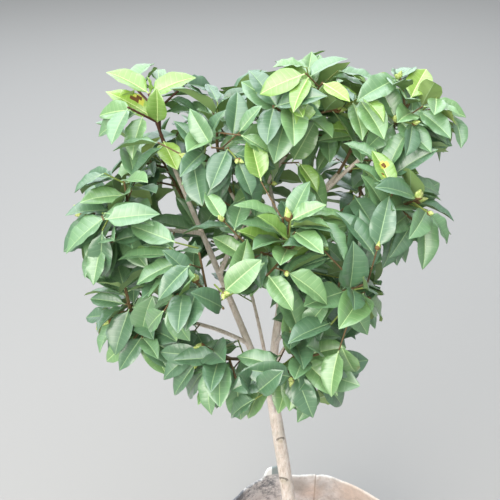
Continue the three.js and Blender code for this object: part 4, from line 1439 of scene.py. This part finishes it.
class MakeBuds(bpy.types.Operator):
    """Makes the flower buds at the ends of the leaders and of some shoots"""
    bl_idname = "camellia.buds"
    bl_label = "Buds"

    def execute(self, context):
        settings = context.scene.camellia.bud
        # Camellia buds: silky overlapping scales with a soft gloss, browner where they dry at the base
        materials = [plain_material(f"bud_scale_{name}", shade, Roughness=rough, IOR=1.45)
                     for name, shade, rough in (("green", tuple(settings.colour), 0.5),
                                                ("edge", linear("#CBD38A"), 0.55),
                                                ("dry", linear("#7A5C38"), 0.7))]
        skin = Skin()
        for index, sprays in enumerate(grown_plant().masses):
            for number, spray in enumerate(sprays):
                barren = not spray.leaves or (number + index) % BUD_EVERY
                if barren or spray.leaves[-1].length < YOUNG_TIP:
                    continue
                end = spray_end(spray)
                heading, tip = spray.stem.heading(end), spray.stem.point(end)
                size = FINE_BUD_SIZE if spray.fine else BUD_SIZE
                for turn in (0, math.pi)[:1 + (number + index) % 2]:
                    growth = leaning(heading, turn + index, BUD_LEAN)
                    add_bud(skin, tip - growth * BUD_SINK, growth, settings.length * size,
                            settings.radius * size, BUD_TURN * number)
        skin.piece("scaly_buds", materials, "leaf_fresh", [f"foliage_{branch.name}" for branch in BRANCHES])
        return {"FINISHED"}


# The floor's half width, the soft light of the sky, and the frame's width in millimetres
FLOOR_REACH, SKY_STRENGTH, FRAME_WIDTH = 40.0, 0.6, 36.0
# What the softboxes face, and each one's place, size, power and colour
AIM = np.array((-0.08, 0.03, 0.85))
SOFTBOXES = (
    ("overhead_softbox", (-0.6, -0.2, 3.3), 3.2, 90.0, "#F6F9FF"),
    ("back_softbox", (-0.3, 2.4, 2.8), 4.0, 92.0, "#EEF5FF"),
    ("front_softbox", (-1.1, -2.1, 2.3), 2.2, 78.0, "#FFF9F0"),
)


class MakeStage(bpy.types.Operator):
    """Makes the plain floor, the soft light and the camera"""
    bl_idname = "camellia.stage"
    bl_label = "Stage"

    def execute(self, context):
        settings = context.scene.camellia.stage
        scene = context.scene
        mesh = bpy.data.meshes.new("floor")
        corners = [(x * FLOOR_REACH, y * FLOOR_REACH, 0) for x, y in ((-1, -1), (1, -1), (1, 1), (-1, 1))]
        mesh.from_pydata(corners, [], [(0, 1, 2, 3)])
        shade = tuple(settings.floor_colour)
        mesh.materials.append(plain_material("matt_painted_floor", shade, Roughness=0.9))
        floor = bpy.data.objects.new("floor", mesh)
        scene.collection.objects.link(floor)

        world = bpy.data.worlds.new("soft_sky")
        world.use_nodes = True
        background = world.node_tree.nodes["Background"]
        background.inputs["Color"].default_value = linear("#E9F0F7")
        background.inputs["Strength"].default_value = SKY_STRENGTH
        scene.world = world
        for name, place, size, power, shade in SOFTBOXES:
            light = bpy.data.lights.new(name, "AREA")
            light.shape, light.size, light.energy = "SQUARE", size, power
            light.color = linear(shade)[:3]
            lamp = bpy.data.objects.new(name, light)
            lamp.location = place
            lamp.rotation_euler = Vector(AIM - place).to_track_quat("-Z", "Y").to_euler()
            scene.collection.objects.link(lamp)

        lens = bpy.data.cameras.new("camera")
        lens.lens = settings.lens
        lens.sensor_width = FRAME_WIDTH
        camera = bpy.data.objects.new("camera", lens)
        camera.location = settings.camera_place
        camera.rotation_euler = (math.pi / 2 - settings.camera_pitch, 0, 0)
        scene.collection.objects.link(camera)
        scene.camera = camera
        scene.view_settings.view_transform = "Standard"
        return {"FINISHED"}


OPERATORS = (MakeBag, MakeSoil, MakeWood, MakeTwigs, MakeLeaves, MakeBuds, MakeStage)


class CamelliaPanel(bpy.types.Panel):
    """Lists the pieces and their sizes and colours"""
    bl_idname = "VIEW3D_PT_camellia"
    bl_label = "Potted camellia"
    bl_space_type = "VIEW_3D"
    bl_region_type = "UI"
    bl_category = "Camellia"

    def draw(self, context):
        layout = self.layout
        for operator in OPERATORS:
            layout.operator(operator.bl_idname)
        for group in CamelliaSettings.__annotations__:
            settings = getattr(context.scene.camellia, group)
            box = layout.box()
            box.label(text=group)
            for name in settings.__annotations__:
                box.prop(settings, name)


CLASSES = (BagSettings, SoilSettings, WoodSettings, LeafSettings, BudSettings, StageSettings,
           CamelliaSettings, *OPERATORS, CamelliaPanel)


def register():
    for cls in CLASSES:
        bpy.utils.register_class(cls)
    bpy.types.Scene.camellia = PointerProperty(
        type=CamelliaSettings, name="Camellia", description="Sizes and colours of the plant")


def unregister():
    del bpy.types.Scene.camellia
    for cls in reversed(CLASSES):
        bpy.utils.unregister_class(cls)


def main():
    register()
    bpy.ops.camellia.stage()
    bpy.ops.camellia.bag()
    bpy.ops.camellia.soil()
    bpy.ops.camellia.wood()
    bpy.ops.camellia.twigs()
    bpy.ops.camellia.leaves()
    bpy.ops.camellia.buds()


if __name__ == "__main__":
    main()
